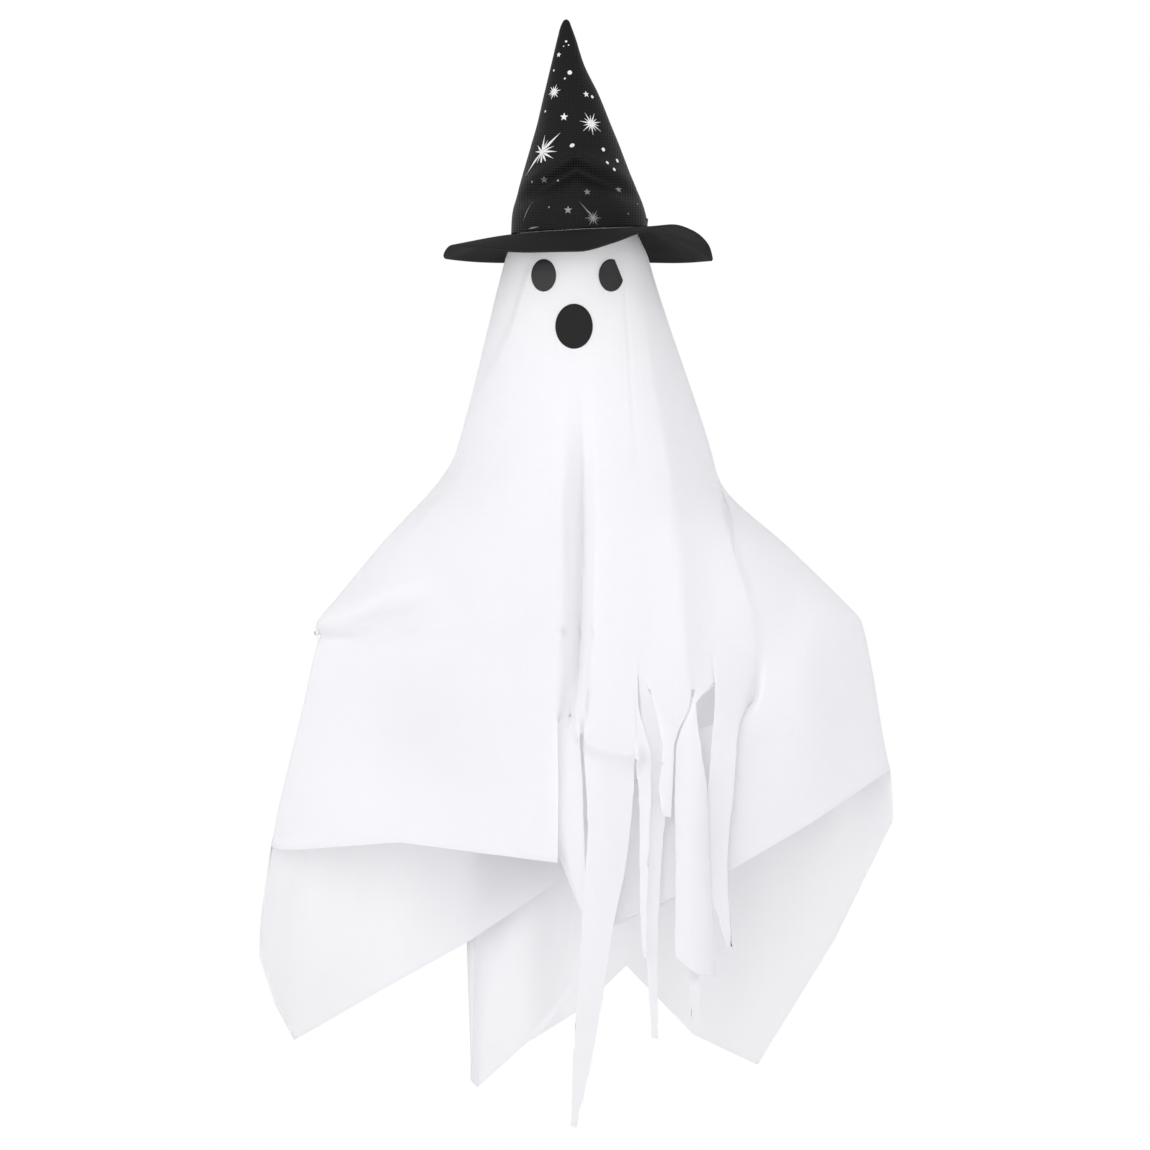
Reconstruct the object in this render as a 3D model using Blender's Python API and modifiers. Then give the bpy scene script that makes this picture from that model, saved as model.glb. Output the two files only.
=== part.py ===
# A hanging fabric ghost with a witch hat.
# One white cloth is draped over an egg-shaped foam head and over a bent wire that holds out
# two arms. Its corners hang lowest; the front one is cut into ragged strips. Felt eyes and
# a mouth are stuck on it, and a tall cloth hat with a felt brim sits on the head.
# The frame is at the tip of the hat, where the ghost hangs: +Z up, the face looks along -Y.
# Inside this source "drop" is millimetres below the tip and "across" is millimetres to the
# right of the ghost's centre line.

import math

import bmesh
import bpy
import numpy as np
from mathutils import Vector
from mathutils.bvhtree import BVHTree

MM = 0.001

# the whole ghost
CENTRE_ACROSS = 9.0     # the hat leans, so its tip is this far left of the centre line

# the foam head
HEAD_RADIUS = 52.0
HEAD_HALF_HEIGHT = 74.0
HEAD_DROP = 205.0       # from the tip to the head's middle
ARM_HOLE_ABOVE_BASE = 11.0

# the arm wire
WIRE_RADIUS = 1.6
WIRE_CLEARANCE = 0.5    # in the hole through the head
WRIST_LEFT = (-214.0, 498.0)
WRIST_RIGHT = (234.0, 496.0)
WIRE_INSET = 9.0        # from the corner of the cloth to the end of the wire
LOOP_RADIUS = 4.0       # the eye bent in each end of the wire

# the cloth
CLOTH_THICK = 1.0
CLOTH_EASE = 1.6        # from the foam to the middle of the cloth
BROW_FULLNESS = 5.0     # gathers stand this far off the head just under the hat
BROW_DROP = 197.0
FRONT_CORNER_DROP = 914.0

# the felt face
FELT_THICK = 0.8
FELT_GAP = 0.55
EYE_DROP = 213.0
EYE_LEFT_ACROSS = -27.5
EYE_RIGHT_ACROSS = 28.0
EYE_HALF = (10.2, 13.4)
MOUTH_ACROSS = -2.5
MOUTH_DROP = 255.0
MOUTH_HALF = (15.4, 18.5)

# the hat
HAT_BASE_DROP = 175.0   # where the cone meets the brim, at the centre line
HAT_TILT = 0.05         # the base line rises to the right by this slope
HAT_CLOTH_THICK = 1.2
HAT_EASE = 6.0          # between the draped head and the cone's base
BRIM_RADIUS = 111.0
BRIM_THICK = 1.6
BRIM_UNDERLAP = 2.2     # the brim's hole is this much smaller than the cone
BRIM_GAP = 0.5

CLOTH_RADIUS = HEAD_RADIUS + CLOTH_EASE
BROW_HALF = CLOTH_RADIUS + BROW_FULLNESS


def clean_scene():
    for old in list(bpy.data.objects):
        bpy.data.objects.remove(old, do_unlink=True)


def new_collection(name):
    made = bpy.data.collections.new(name)
    bpy.context.scene.collection.children.link(made)
    return made


def material(name, colour, roughness, metallic=0.0):
    made = bpy.data.materials.new(name)
    made.use_nodes = True
    shader = made.node_tree.nodes["Principled BSDF"]
    shader.inputs["Base Color"].default_value = (*colour, 1.0)
    shader.inputs["Roughness"].default_value = roughness
    shader.inputs["Metallic"].default_value = metallic
    return made


def place(across, depth, drop):
    """A point of the ghost's own frame from millimetres across, back and down."""
    return Vector(((across + CENTRE_ACROSS) * MM, depth * MM, -drop * MM))


def smooth_through(knots, values, wanted):
    """A curve through the knots that never swings past them."""
    knots = np.asarray(knots, float)
    values = np.asarray(values, float)
    steps = np.diff(knots)
    slopes = np.diff(values) / steps
    tangents = np.zeros(len(knots))
    for i in range(1, len(knots) - 1):
        if slopes[i - 1] * slopes[i] > 0:
            w1 = 2 * steps[i] + steps[i - 1]
            w2 = steps[i] + 2 * steps[i - 1]
            tangents[i] = (w1 + w2) / (w1 / slopes[i - 1] + w2 / slopes[i])
    tangents[0] = slopes[0]
    tangents[-1] = slopes[-1]
    wanted = np.clip(np.asarray(wanted, float), knots[0], knots[-1])
    at = np.clip(np.searchsorted(knots, wanted, side="right") - 1, 0, len(steps) - 1)
    h = steps[at]
    t = (wanted - knots[at]) / h
    return (
        values[at] * (1 + 2 * t) * (1 - t) ** 2
        + tangents[at] * h * t * (1 - t) ** 2
        + values[at + 1] * t * t * (3 - 2 * t)
        + tangents[at + 1] * h * t * t * (t - 1)
    )


def mesh_object(name, home, points, faces, look):
    mesh = bpy.data.meshes.new(name)
    mesh.from_pydata([tuple(p) for p in points], [], faces)
    mesh.validate()
    made = bpy.data.objects.new(name, mesh)
    home.objects.link(made)
    mesh.materials.append(look)
    for face in mesh.polygons:
        face.use_smooth = True
    return made


def give_thickness(made, thick):
    solid = made.modifiers.new("cloth thickness", "SOLIDIFY")
    solid.thickness = thick * MM
    solid.offset = 0.0
    solid.use_even_offset = False
    return solid


clean_scene()
ghost = new_collection("hanging_ghost")
cutters = new_collection("cutters")


# The foam head is a smooth egg, with a hole across it near the base for the arm wire.

ARM_HOLE_DROP = HEAD_DROP + HEAD_HALF_HEIGHT - ARM_HOLE_ABOVE_BASE


def head_form():
    mesh = bpy.data.meshes.new("head_form")
    body = bmesh.new()
    bmesh.ops.create_uvsphere(body, u_segments=20, v_segments=12, radius=1.0)
    size = Vector((HEAD_RADIUS, HEAD_RADIUS, HEAD_HALF_HEIGHT)) * MM
    bmesh.ops.scale(body, vec=size, verts=body.verts)
    bmesh.ops.translate(body, vec=place(0, 0, HEAD_DROP), verts=body.verts)
    body.to_mesh(mesh)
    body.free()
    head = bpy.data.objects.new("head_form", mesh)
    ghost.objects.link(head)
    mesh.materials.append(material("white foam", (0.86, 0.86, 0.84), 0.85))
    for face in mesh.polygons:
        face.use_smooth = True
    hole_mesh = bpy.data.meshes.new("arm_hole")
    body = bmesh.new()
    hole_radius = (WIRE_RADIUS + WIRE_CLEARANCE) * MM
    bmesh.ops.create_cone(
        body,
        cap_ends=True,
        segments=12,
        radius1=hole_radius,
        radius2=hole_radius,
        depth=3 * HEAD_RADIUS * MM,
    )
    body.to_mesh(hole_mesh)
    body.free()
    hole = bpy.data.objects.new("arm_hole", hole_mesh)
    cutters.objects.link(hole)
    hole.rotation_euler = (0.0, math.radians(90), 0.0)
    hole.location = place(0, 0, ARM_HOLE_DROP)
    hole.hide_render = True
    hole.display_type = "WIRE"
    cut = head.modifiers.new("arm hole", "BOOLEAN")
    cut.operation = "DIFFERENCE"
    cut.solver = "EXACT"
    cut.object = hole
    return head


head_form()


# The outline of the drape, seen from the front, and how deep it is. The head sets the top of
# it; the wrists set the corners; the loose edges hang below them.

WRIST_LEFT_ACROSS, WRIST_LEFT_DROP = WRIST_LEFT
WRIST_RIGHT_ACROSS, WRIST_RIGHT_DROP = WRIST_RIGHT
CROWN_ANGLES = (17, 35, 53, 70)
CROWN_DROPS = [
    HEAD_DROP - (HEAD_HALF_HEIGHT + CLOTH_EASE) * math.cos(math.radians(a)) for a in CROWN_ANGLES
]
CROWN_HALVES = [CLOTH_RADIUS * math.sin(math.radians(a)) for a in CROWN_ANGLES]

LEFT_OUTLINE = [
    (BROW_DROP, -BROW_HALF),
    (BROW_DROP + 11, -BROW_HALF - 3),
    (355, WRIST_LEFT_ACROSS + 115),
    (361, WRIST_LEFT_ACROSS + 113),
    (WRIST_LEFT_DROP - 60, WRIST_LEFT_ACROSS + 49),
    (WRIST_LEFT_DROP - 14, WRIST_LEFT_ACROSS + 11),
    (WRIST_LEFT_DROP - 1, WRIST_LEFT_ACROSS),
    (WRIST_LEFT_DROP + 4, WRIST_LEFT_ACROSS - 2.5),
    (WRIST_LEFT_DROP + 10, WRIST_LEFT_ACROSS + 3),
    (WRIST_LEFT_DROP + 16, WRIST_LEFT_ACROSS + 0.5),
    (563, WRIST_LEFT_ACROSS - 11),
    (683, WRIST_LEFT_ACROSS - 38),
    (775, WRIST_LEFT_ACROSS - 49),
    (FRONT_CORNER_DROP, WRIST_LEFT_ACROSS - 49),
]
RIGHT_OUTLINE = [
    (BROW_DROP, BROW_HALF),
    (BROW_DROP + 11, BROW_HALF + 3),
    (355, WRIST_RIGHT_ACROSS - 124),
    (380, WRIST_RIGHT_ACROSS - 117),
    (WRIST_RIGHT_DROP - 58, WRIST_RIGHT_ACROSS - 58),
    (WRIST_RIGHT_DROP - 10, WRIST_RIGHT_ACROSS - 9),
    (WRIST_RIGHT_DROP, WRIST_RIGHT_ACROSS),
    (WRIST_RIGHT_DROP + 6, WRIST_RIGHT_ACROSS + 2),
    (600, WRIST_RIGHT_ACROSS + 20),
    (621, WRIST_RIGHT_ACROSS + 24),
    (663, WRIST_RIGHT_ACROSS + 27),
    (FRONT_CORNER_DROP, WRIST_RIGHT_ACROSS + 27),
]
# half the depth of the drape, from the head down
DEPTHS = [
    (BROW_DROP, BROW_HALF - 4),
    (282, CLOTH_RADIUS + 3),
    (356, CLOTH_RADIUS + 7),
    (440, CLOTH_RADIUS + 12),
    (513, CLOTH_RADIUS + 16),
    (612, CLOTH_RADIUS + 22),
    (685, CLOTH_RADIUS + 27),
    (810, CLOTH_RADIUS + 33),
    (FRONT_CORNER_DROP, CLOTH_RADIUS + 36),
]
# 2 is round like the head; smaller is a flat tent with an edge over each arm
ROUNDNESS = [(BROW_DROP, 2.0), (282, 1.9), (356, 1.6), (513, 1.35), (FRONT_CORNER_DROP, 1.3)]


def outline_at(profile, drops, crown):
    knots = CROWN_DROPS + [d for d, v in profile]
    values = crown + [v for d, v in profile]
    return smooth_through(knots, values, drops)


def section_at(drops):
    """The middle, half width, half depth and roundness of the drape at these drops."""
    left = outline_at(LEFT_OUTLINE, drops, [-h for h in CROWN_HALVES])
    right = outline_at(RIGHT_OUTLINE, drops, CROWN_HALVES)
    deep = outline_at(DEPTHS, drops, CROWN_HALVES)
    roundness = outline_at(ROUNDNESS, drops, [2.0] * len(CROWN_HALVES))
    return (left + right) / 2, (right - left) / 2, deep, roundness


# The guide lines of the drape, round it from the left edge past the front, the right edge and
# the back. Each runs down one fold, one edge of a strip or one corner of the cloth:
# name, angle round the head, points (drop, across, or None and an angle), end (drop, across),
# how far it is pushed back (drop, push), columns of cloth to the next line, and the drop
# at which a slit opens between it and the next line.

FRONT, BACK = 0, 1
GUIDES = [
    ("left edge", -90, FRONT, [], (683, None, -90), [(356, 0)], 1, None),
    ("left band", -68, FRONT, [(343, -98), (361, -95), (430, -137), (498, -186)],
     (686, -240), [(205, 1), (343, 4), (361, 3), (430, 0), (513, -1)], 1, None),
    ("left pleat", -62, FRONT, [(343, -95), (361, -91), (430, -131), (498, -178)],
     (686, -232), [(205, -3), (343, -4), (513, -2)], 5, None),
    ("left chest", -34, FRONT, [(257, -37), (356, -60), (440, -88), (513, -113)],
     (679, -146), [(257, 0), (356, -2), (513, -5)], 4, None),
    ("left shoulder", -10, FRONT, [(282, -8), (356, -8), (513, -12), (546, -15)],
     (695, -16), [(257, 0), (356, -4), (513, -6), (695, -6)], 1, 600),
    ("valley", -4, FRONT, [(282, 1), (356, 3), (410, 3), (513, -1)],
     (700, -20), [(257, 0), (320, 3), (356, 4), (513, 7), (560, 16), (620, 30), (700, 36)], 1, 548),
    ("leaf left", 0, FRONT, [(356, 9), (513, 5), (563, -3), (591, -4), (650, -10), (681, -8)],
     (738, 5), [(257, 0), (356, 2), (513, 4), (580, 0), (600, 6), (738, 0)], 1, None),
    ("leaf right", 3, FRONT, [(356, 12), (513, 8), (563, 1), (591, 2), (650, 5), (681, 6)],
     (739, 8), [(257, 0), (356, -2), (513, -1), (580, -8), (596, 4), (738, 4)], 1, 596),
    ("tatter left", 4, FRONT, [(356, 14), (513, 10), (591, 5), (681, 9), (750, 4), (783, -1)],
     (836, -37), [(257, 0), (356, -3), (513, -5), (582, -12), (600, 8), (836, 10)], 1, None),
    ("tatter right", 5, FRONT, [(356, 16), (513, 12), (591, 7), (681, 20), (750, 14), (783, 6)],
     (838, -33), [(257, 0), (356, -4), (513, -6), (584, -15), (602, 8), (836, 10)], 1, 590),
    ("long left", 7, FRONT, [(356, 18), (513, 14), (591, 6), (681, 8), (750, 4), (804, 0), (855, -3)],
     (910, -5), [(257, 0), (356, -5), (513, -7), (578, -10), (590, -19), (597, -19), (605, -4),
     (630, -2), (914, -4)], 2, None),
    ("long right", 24, FRONT, [(310, 27), (513, 43), (563, 48), (608, 47), (681, 42), (750, 29),
     (804, 21), (855, 12)], (912, -1),
     [(257, 0), (356, -7), (513, -9), (592, -11), (600, -18), (607, -18), (614, -4), (640, -2),
     (914, -4)], 1, 608),
    ("thin left", 27, FRONT, [(310, 30), (513, 46), (563, 49), (608, 49), (650, 51), (681, 50)],
     (772, 54), [(257, 0), (356, -7), (513, -9), (596, -11), (606, -17), (618, -12), (775, -8)], 1, None),
    ("thin right", 30, FRONT, [(310, 33), (513, 49), (563, 52), (608, 61), (640, 60), (681, 58.5)],
     (774, 57), [(257, 0), (356, -7), (513, -9), (608, -15), (622, -9), (776, -8)], 1, 541),
    ("hidden left", 33, FRONT, [(310, 37), (513, 54), (563, 55), (612, 57), (681, 57)],
     (838, 61), [(257, 0), (356, -7), (513, -8.5), (541, -6), (591, 12), (838, 10)], 1, None),
    ("hidden right", 37, FRONT, [(310, 41), (513, 59), (563, 63), (612, 68), (681, 68)],
     (840, 65), [(257, 0), (356, -6.5), (513, -8), (541, -6), (591, 12), (838, 10)], 1, 541),
    ("crease", 41, FRONT, [(214, 39), (310, 45), (513, 64), (568, 64), (602, 69), (637, 68)],
     (656, 72), [(205, 0), (257, -5), (513, -8), (656, -4)], 2, None),
    ("shade line", 60, FRONT, [(214, 53), (298, 63), (393, 79), (513, 87), (566, 90), (602, 78)],
     (658, 76), [(257, 0), (356, -4.5), (513, -5.5), (656, -4)], 1, 560),
    ("tube left", 66, FRONT, [(298, 68), (393, 84), (513, 91.5), (562, 91), (579, 81), (602, 73), (640, 75),
     (686, 78)], (772, 81), [(257, 0), (356, -4), (513, -5), (556, -3), (575, 3), (612, 2), (650, -4),
     (788, -7)], 1, None),
    ("tube front", 69, FRONT, [(298, 71), (393, 89), (513, 97), (566, 94), (602, 91), (686, 92)],
     (786, 98), [(257, 0), (356, -3.5), (513, -4.5), (545, -4), (580, -5), (640, -14), (788, -16)], 1, None),
    ("tube right", 72, FRONT, [(298, 74), (393, 93), (513, 101), (548, 101), (566, 97), (604, 102),
     (650, 107), (684, 108)], (788, 115), [(257, 0), (356, -3), (513, -4), (612, -8), (788, -8)],
     1, 556),
    ("under left", 74, FRONT, [(298, 76), (393, 96), (513, 104), (548, 104), (566, 90),
     (686, 90)], (823, 94), [(257, 0), (356, -3), (513, -4), (550, -2), (591, 6), (825, 4)], 1, None),
    ("under right", 76, FRONT, [(298, 78), (393, 99), (513, 108), (545, 110), (566, 98),
     (686, 103)], (825, 100), [(257, 0), (356, -3), (513, -4), (550, -2), (591, 6), (825, 4)], 1, 545),
    ("tail left", 79, FRONT, [(298, 81), (393, 103), (513, 113), (548, 113), (575, 111), (608, 109),
     (645, 106), (686, 104)], (763, 122), [(257, 0), (356, -3), (513, -4), (763, -2)], 2, None),
    ("pleat edge", 83, FRONT, [(380, 114), (439, 129), (486, 143), (513, 142), (563, 136),
     (600, 131), (645, 128), (686, 124)], (765, 127),
     [(380, 0), (410, -2), (439, -3), (513, -5), (763, -6)], 1, None),
    ("pleat back", 87, FRONT, [(380, None, 84), (439, 124), (486, 135), (513, 134), (563, 128),
     (600, 123), (645, 118), (686, 112)], (716, 110),
     [(380, 0), (410, 2), (439, 5), (486, 8), (513, 11), (600, 20), (763, 28)], 2, None),
    ("pleat inside", 92, FRONT, [(380, None, 90), (410, 117), (439, 116), (486, 117), (513, 112),
     (563, 100), (645, 66)], (750, 35),
     [(380, 0), (410, 4), (439, 9), (486, 17), (513, 24), (600, 36), (750, 42)], 3, None),
    ("right panel", 98, FRONT, [(380, None, 97), (439, 142), (513, 150), (645, 139)],
     (699, 131), [(380, 0), (410, 4), (439, 10), (513, 20), (699, 23)], 3, None),
    ("right chest", 105, FRONT, [(380, None, 103), (439, 160), (513, 190), (621, 196)],
     (663, 193), [(380, 0), (513, 5), (663, 7)], 3, None),
    ("right edge", 111, FRONT, [(380, None, 109), (439, None, 95), (486, None, 90)],
     (621, None, 90), [(356, 0)], 1, None),
    ("right turn", 116, BACK, [(380, None, 113), (439, 166), (513, 232), (600, 252)],
     (663, 260), [(356, 0), (513, 2)], 2, None),
    ("right hem", 124, BACK, [(439, 140), (513, 212), (639, 222)],
     (762, 213), [(257, 0), (356, 4), (513, 8), (762, 6)], 3, None),
    ("right corner", 134, BACK, [(439, 112), (513, 170), (686, 158)],
     (866, 150), [(257, 0), (356, -4), (513, -8), (866, -2)], 2, None),
    ("right scallop", 146, BACK, [(439, 86), (513, 112), (686, 104)],
     (842, 97), [(257, 0), (356, 6), (513, 12), (842, 14)], 2, None),
    ("back notch", 158, BACK, [(439, 54), (513, 70), (686, 52)],
     (784, 41), [(257, 0), (356, -8), (513, -14), (784, -12)], 2, None),
    ("back hem", 170, BACK, [(439, 20), (513, 28), (686, 4)],
     (824, -1), [(257, 0), (356, 6), (513, 12), (824, 10)], 2, None),
    ("back hem left", 182, BACK, [(439, -10), (513, -8), (686, -36)],
     (848, -41), [(257, 0), (356, -3), (513, -6), (848, 2)], 2, None),
    ("back corner", 193, BACK, [(439, -34), (513, -42), (686, -74)],
     (886, -83), [(257, 0), (356, 5), (513, 12), (886, 14)], 1, None),
    ("back fold", 201, BACK, [(439, -44), (513, -56), (686, -86)],
     (879, -88), [(257, 0), (356, 2), (513, 6), (686, 10), (886, 10)], 1, None),
    ("under fold", 207, BACK, [(439, -52), (513, -64), (686, -80)],
     (757, -84), [(257, 0), (356, -2), (513, 0), (757, 2)], 1, None),
    ("fold back", 211, BACK, [(439, -60), (513, -68), (612, -52)],
     (729, -36), [(257, 0), (356, -4), (513, -6), (725, -8)], 1, None),
    ("inner fold", 214, BACK, [(439, -66), (513, -70), (612, -44)],
     (725, -27), [(257, 0), (356, -6), (513, -16), (612, -20), (725, -22)], 3, None),
    ("left hem", 224, BACK, [(439, -84), (513, -112), (686, -94)],
     (762, -87), [(257, 0), (356, 2), (513, -5), (762, -12)], 3, None),
    ("left scallop", 237, BACK, [(439, -104), (513, -152), (686, -158)],
     (804, -163), [(257, 0), (356, -4), (513, -8), (804, -4)], 3, None),
    ("left corner", 250, BACK, [(439, -122), (513, -186), (686, -222)],
     (844, -234), [(356, 0), (513, 3)], 1, None),
    ("left corner edge", 256, BACK, [(439, -136), (513, -202), (686, -240)],
     (815, -249), [(356, 0)], 1, None),
    ("left turn", 263, BACK, [(439, -150), (513, -212), (686, -249)],
     (775, -262), [(356, 0)], 1, None),
]

# soft hollows (+) and swells (-) in the front: drop, across, half width, half height, tilt, push
DIMPLES = [
    (520, -165, 48, 13, -0.35, 9.0),
    (492, -190, 40, 10, -0.60, -5.0),
    (590, -120, 30, 60, 0.20, 5.0),
    (455, -120, 14, 60, 0.60, 4.0),
    (500, 172, 20, 70, -0.50, 4.0),
    (560, 190, 26, 60, 0.15, -4.0),
]

ROWS_TO_SKIRT = [189, BROW_DROP, 215, 245, 282, 320, 356, 380, 410, 440, 470, 498, 516]
ROWS_ABOVE_HEM = [535, 549, 563, 590, 612]
HEM_ROWS = 7
HEM_SPREAD = 12.0        # guides closer than this share a hem by columns alone

# the spare width of the cloth hangs in folds behind: how many, between which guides, how deep
GATHERS = 8.5
GATHERS_FROM = "right turn"
GATHERS_TO = "left turn"
GATHER_DEPTH = [
    (BROW_DROP - 8, 0), (260, 5), (356, 18), (440, 30), (560, 36), (650, 30), (740, 14),
    (FRONT_CORNER_DROP, 8),
]
GATHERS_INWARD = 0.35    # share of their depth by which the folds are drawn in


def guide_angles(guide, drops):
    """The angle round the drape of one guide line at these drops."""
    name, head_angle, side, points, end, push, columns, slit = guide
    knots = [BROW_DROP]
    angles = [head_angle]
    for drop, across, *held in points + [end]:
        middle, half, deep, roundness = section_at([drop])
        if across is None:
            angle = held[0]
        else:
            sine = max(-1.0, min(1.0, (across - middle[0]) / half[0]))
            angle = math.degrees(math.asin(sine))
            if side == BACK:
                angle = 180.0 - angle
        knots.append(drop)
        angles.append(angle)
    return smooth_through(knots, angles, drops)


def guide_push(guide, drops):
    push = [(BROW_DROP - 8, 0.0)] + guide[5]
    if len(push) == 2:
        push = [push[0], push[1], (FRONT_CORNER_DROP, push[1][1])]
    return smooth_through([d for d, v in push], [v for d, v in push], drops)


def drape_point(angles, drops, push):
    """Points of the middle of the cloth; the angle is 0 in front and 90 at the right."""
    middle, half, deep, roundness = section_at(drops)
    turn = np.radians(angles)
    forward = np.cos(turn)
    across = middle + half * np.sin(turn)
    depth = -deep * np.sign(forward) * np.abs(forward) ** (2 / roundness)
    dent = np.zeros_like(depth)
    for drop, x, wide, high, tilt, size in DIMPLES:
        along = (across - x) * math.cos(tilt) - (drops - drop) * math.sin(tilt)
        down = (across - x) * math.sin(tilt) + (drops - drop) * math.cos(tilt)
        dent += size * np.exp(-((along / wide) ** 2) - (down / high) ** 2)
    near_edge = np.clip(1.4 * np.abs(forward), 0, 1)
    dent *= (forward > 0) * near_edge
    return across, depth + push + dent, drops


def around_again(values, knots, columns, turn=0.0):
    """Values at every column of cloth from the values on the guides, right round."""
    wrap = 3
    total = knots[-1]
    many_knots = np.concatenate([knots[-1 - wrap:-1] - total, knots, knots[1:1 + wrap] + total])
    many = np.concatenate([values[-wrap:] - turn, values, values[:1 + wrap] + turn])
    return smooth_through(many_knots, many, columns)


def straight_hem(knots, hem, columns):
    """Where each column ends, so that the hem runs straight from guide to guide."""
    angles = np.array([guide_angles(g, [g[4][0]])[0] for g in GUIDES])
    plain = np.interp(columns, knots, np.append(hem, hem[0]))
    fine = around_again(angles, knots, columns, 360)
    across = drape_point(fine, plain, 0.0)[0]
    ends = drape_point(angles, hem, 0.0)[0]
    drops = plain.copy()
    for i in range(len(GUIDES)):
        beside = (i + 1) % len(GUIDES)
        spread = ends[beside] - ends[i]
        for column in range(int(knots[i]) + 1, int(knots[i + 1])):
            if abs(spread) > HEM_SPREAD:
                share = min(1.0, max(0.0, (across[column] - ends[i]) / spread))
                drops[column] = hem[i] + (hem[beside] - hem[i]) * share
    return drops


def gathers(knots, columns, drops):
    """How far the folds behind push the cloth back, at these columns and drops."""
    names = [g[0] for g in GUIDES]
    start = knots[names.index(GATHERS_FROM)]
    end = knots[names.index(GATHERS_TO)]
    along = np.clip((columns - start) / (end - start), 0, 1)
    fade = np.sin(np.pi * along)
    depth = smooth_through([d for d, v in GATHER_DEPTH], [v for d, v in GATHER_DEPTH], drops)
    head_base = HEAD_DROP + HEAD_HALF_HEIGHT
    off_head = np.clip((drops - head_base) / HEAD_HALF_HEIGHT, 0, 1)
    wave = np.sin(2 * np.pi * GATHERS * along) * fade ** 0.4
    return depth * (wave + fade * (1 - off_head * (1 + GATHERS_INWARD)))


def drape_grid():
    """Rows of columns of points, and the rows of faces left out for each slit."""
    rows = CROWN_DROPS + ROWS_TO_SKIRT + ROWS_ABOVE_HEM
    hem = np.array([g[4][0] for g in GUIDES], float)
    knots = np.concatenate([[0], np.cumsum([g[6] for g in GUIDES])]).astype(float)
    total = int(knots[-1])
    columns = np.arange(total)
    hem_here = straight_hem(knots, hem, columns)
    last = rows[-1]
    levels = [np.full(len(GUIDES), r, float) for r in rows]
    for k in range(1, HEM_ROWS + 1):
        levels.append(last + (hem - last) * k / HEM_ROWS)
    grid = []
    for r, level in enumerate(levels):
        angles = np.array([guide_angles(g, [level[i]])[0] for i, g in enumerate(GUIDES)])
        push = np.array([guide_push(g, [level[i]])[0] for i, g in enumerate(GUIDES)])
        if r < len(rows):
            drops = np.full(total, rows[r], float)
        else:
            drops = last + (hem_here - last) * (r - len(rows) + 1) / HEM_ROWS
        fine_angles = around_again(angles, knots, columns, 360)
        fine_push = around_again(push, knots, columns) + gathers(knots, columns, drops)
        grid.append(np.stack(drape_point(fine_angles, drops, fine_push), axis=1))
    slits = []
    for i, guide in enumerate(GUIDES):
        if guide[7] is not None:
            slits.append((int(knots[i]), guide[7]))
    return np.array(grid), slits


def draped_cloth():
    grid, slits = drape_grid()
    rows, columns, _ = grid.shape
    points = [place(*grid[r, c]) for r in range(rows) for c in range(columns)]
    crown = len(points)
    points.append(place(0, 0, HEAD_DROP - HEAD_HALF_HEIGHT - CLOTH_EASE))
    faces = [(crown, (c + 1) % columns, c) for c in range(columns)]
    open_below = dict(slits)
    for r in range(rows - 1):
        for c in range(columns):
            if c in open_below and grid[r, c, 2] >= open_below[c] - 1:
                continue
            beside = (c + 1) % columns
            faces.append((
                r * columns + c,
                r * columns + beside,
                (r + 1) * columns + beside,
                (r + 1) * columns + c,
            ))
    cloth = mesh_object(
        "draped_cloth", ghost, points, faces, material("white cloth", (0.88, 0.88, 0.90), 0.9)
    )
    give_thickness(cloth, CLOTH_THICK)
    return cloth


cloth = draped_cloth()
bpy.context.view_layer.update()
CLOTH_SURFACE = BVHTree.FromObject(cloth, bpy.context.evaluated_depsgraph_get())


# The arm wire is one length of white wire. It goes through the head near its base, slopes
# down to both wrists just inside the cloth and ends in a small eye at each.

def arm_wire():
    path = []
    for side, (across, drop) in ((-1, WRIST_LEFT), (1, WRIST_RIGHT)):
        elbow = (
            (WRIST_LEFT_ACROSS + 115 + 7, 364) if side < 0 else (WRIST_RIGHT_ACROSS - 117 - 9, 380)
        )
        end = (across - side * WIRE_INSET, drop + 4)
        half = [(side * 24, ARM_HOLE_DROP), (side * 31, ARM_HOLE_DROP + 4), elbow, end]
        centre = (end[0] - side * 0.3 * LOOP_RADIUS, end[1] + LOOP_RADIUS)
        start = math.atan2(end[1] - centre[1], end[0] - centre[0])
        for step in range(1, 10):
            turn = start + side * math.radians(30 * step)
            half.append((
                centre[0] + LOOP_RADIUS * math.cos(turn),
                centre[1] + LOOP_RADIUS * math.sin(turn),
            ))
        path = half[::-1] + path if side < 0 else path + half
    curve = bpy.data.curves.new("arm_wire", "CURVE")
    curve.dimensions = "3D"
    curve.bevel_depth = WIRE_RADIUS * MM
    curve.bevel_resolution = 1
    curve.use_fill_caps = True
    line = curve.splines.new("POLY")
    line.points.add(len(path) - 1)
    for point, (across, drop) in zip(line.points, path):
        point.co = (*place(across, 0, drop), 1.0)
    curve.materials.append(material("white wire", (0.80, 0.80, 0.80), 0.45))
    made = bpy.data.objects.new("arm_wire", curve)
    ghost.objects.link(made)
    return made


arm_wire()


# The cloth is tied to the left end of the wire; the knot of the thread sits outside the cloth,
# just below the corner of the arm.

KNOT_RADIUS = 1.8
KNOT_GAP = 0.35
KNOT_BELOW_WRIST = 11.0


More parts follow.
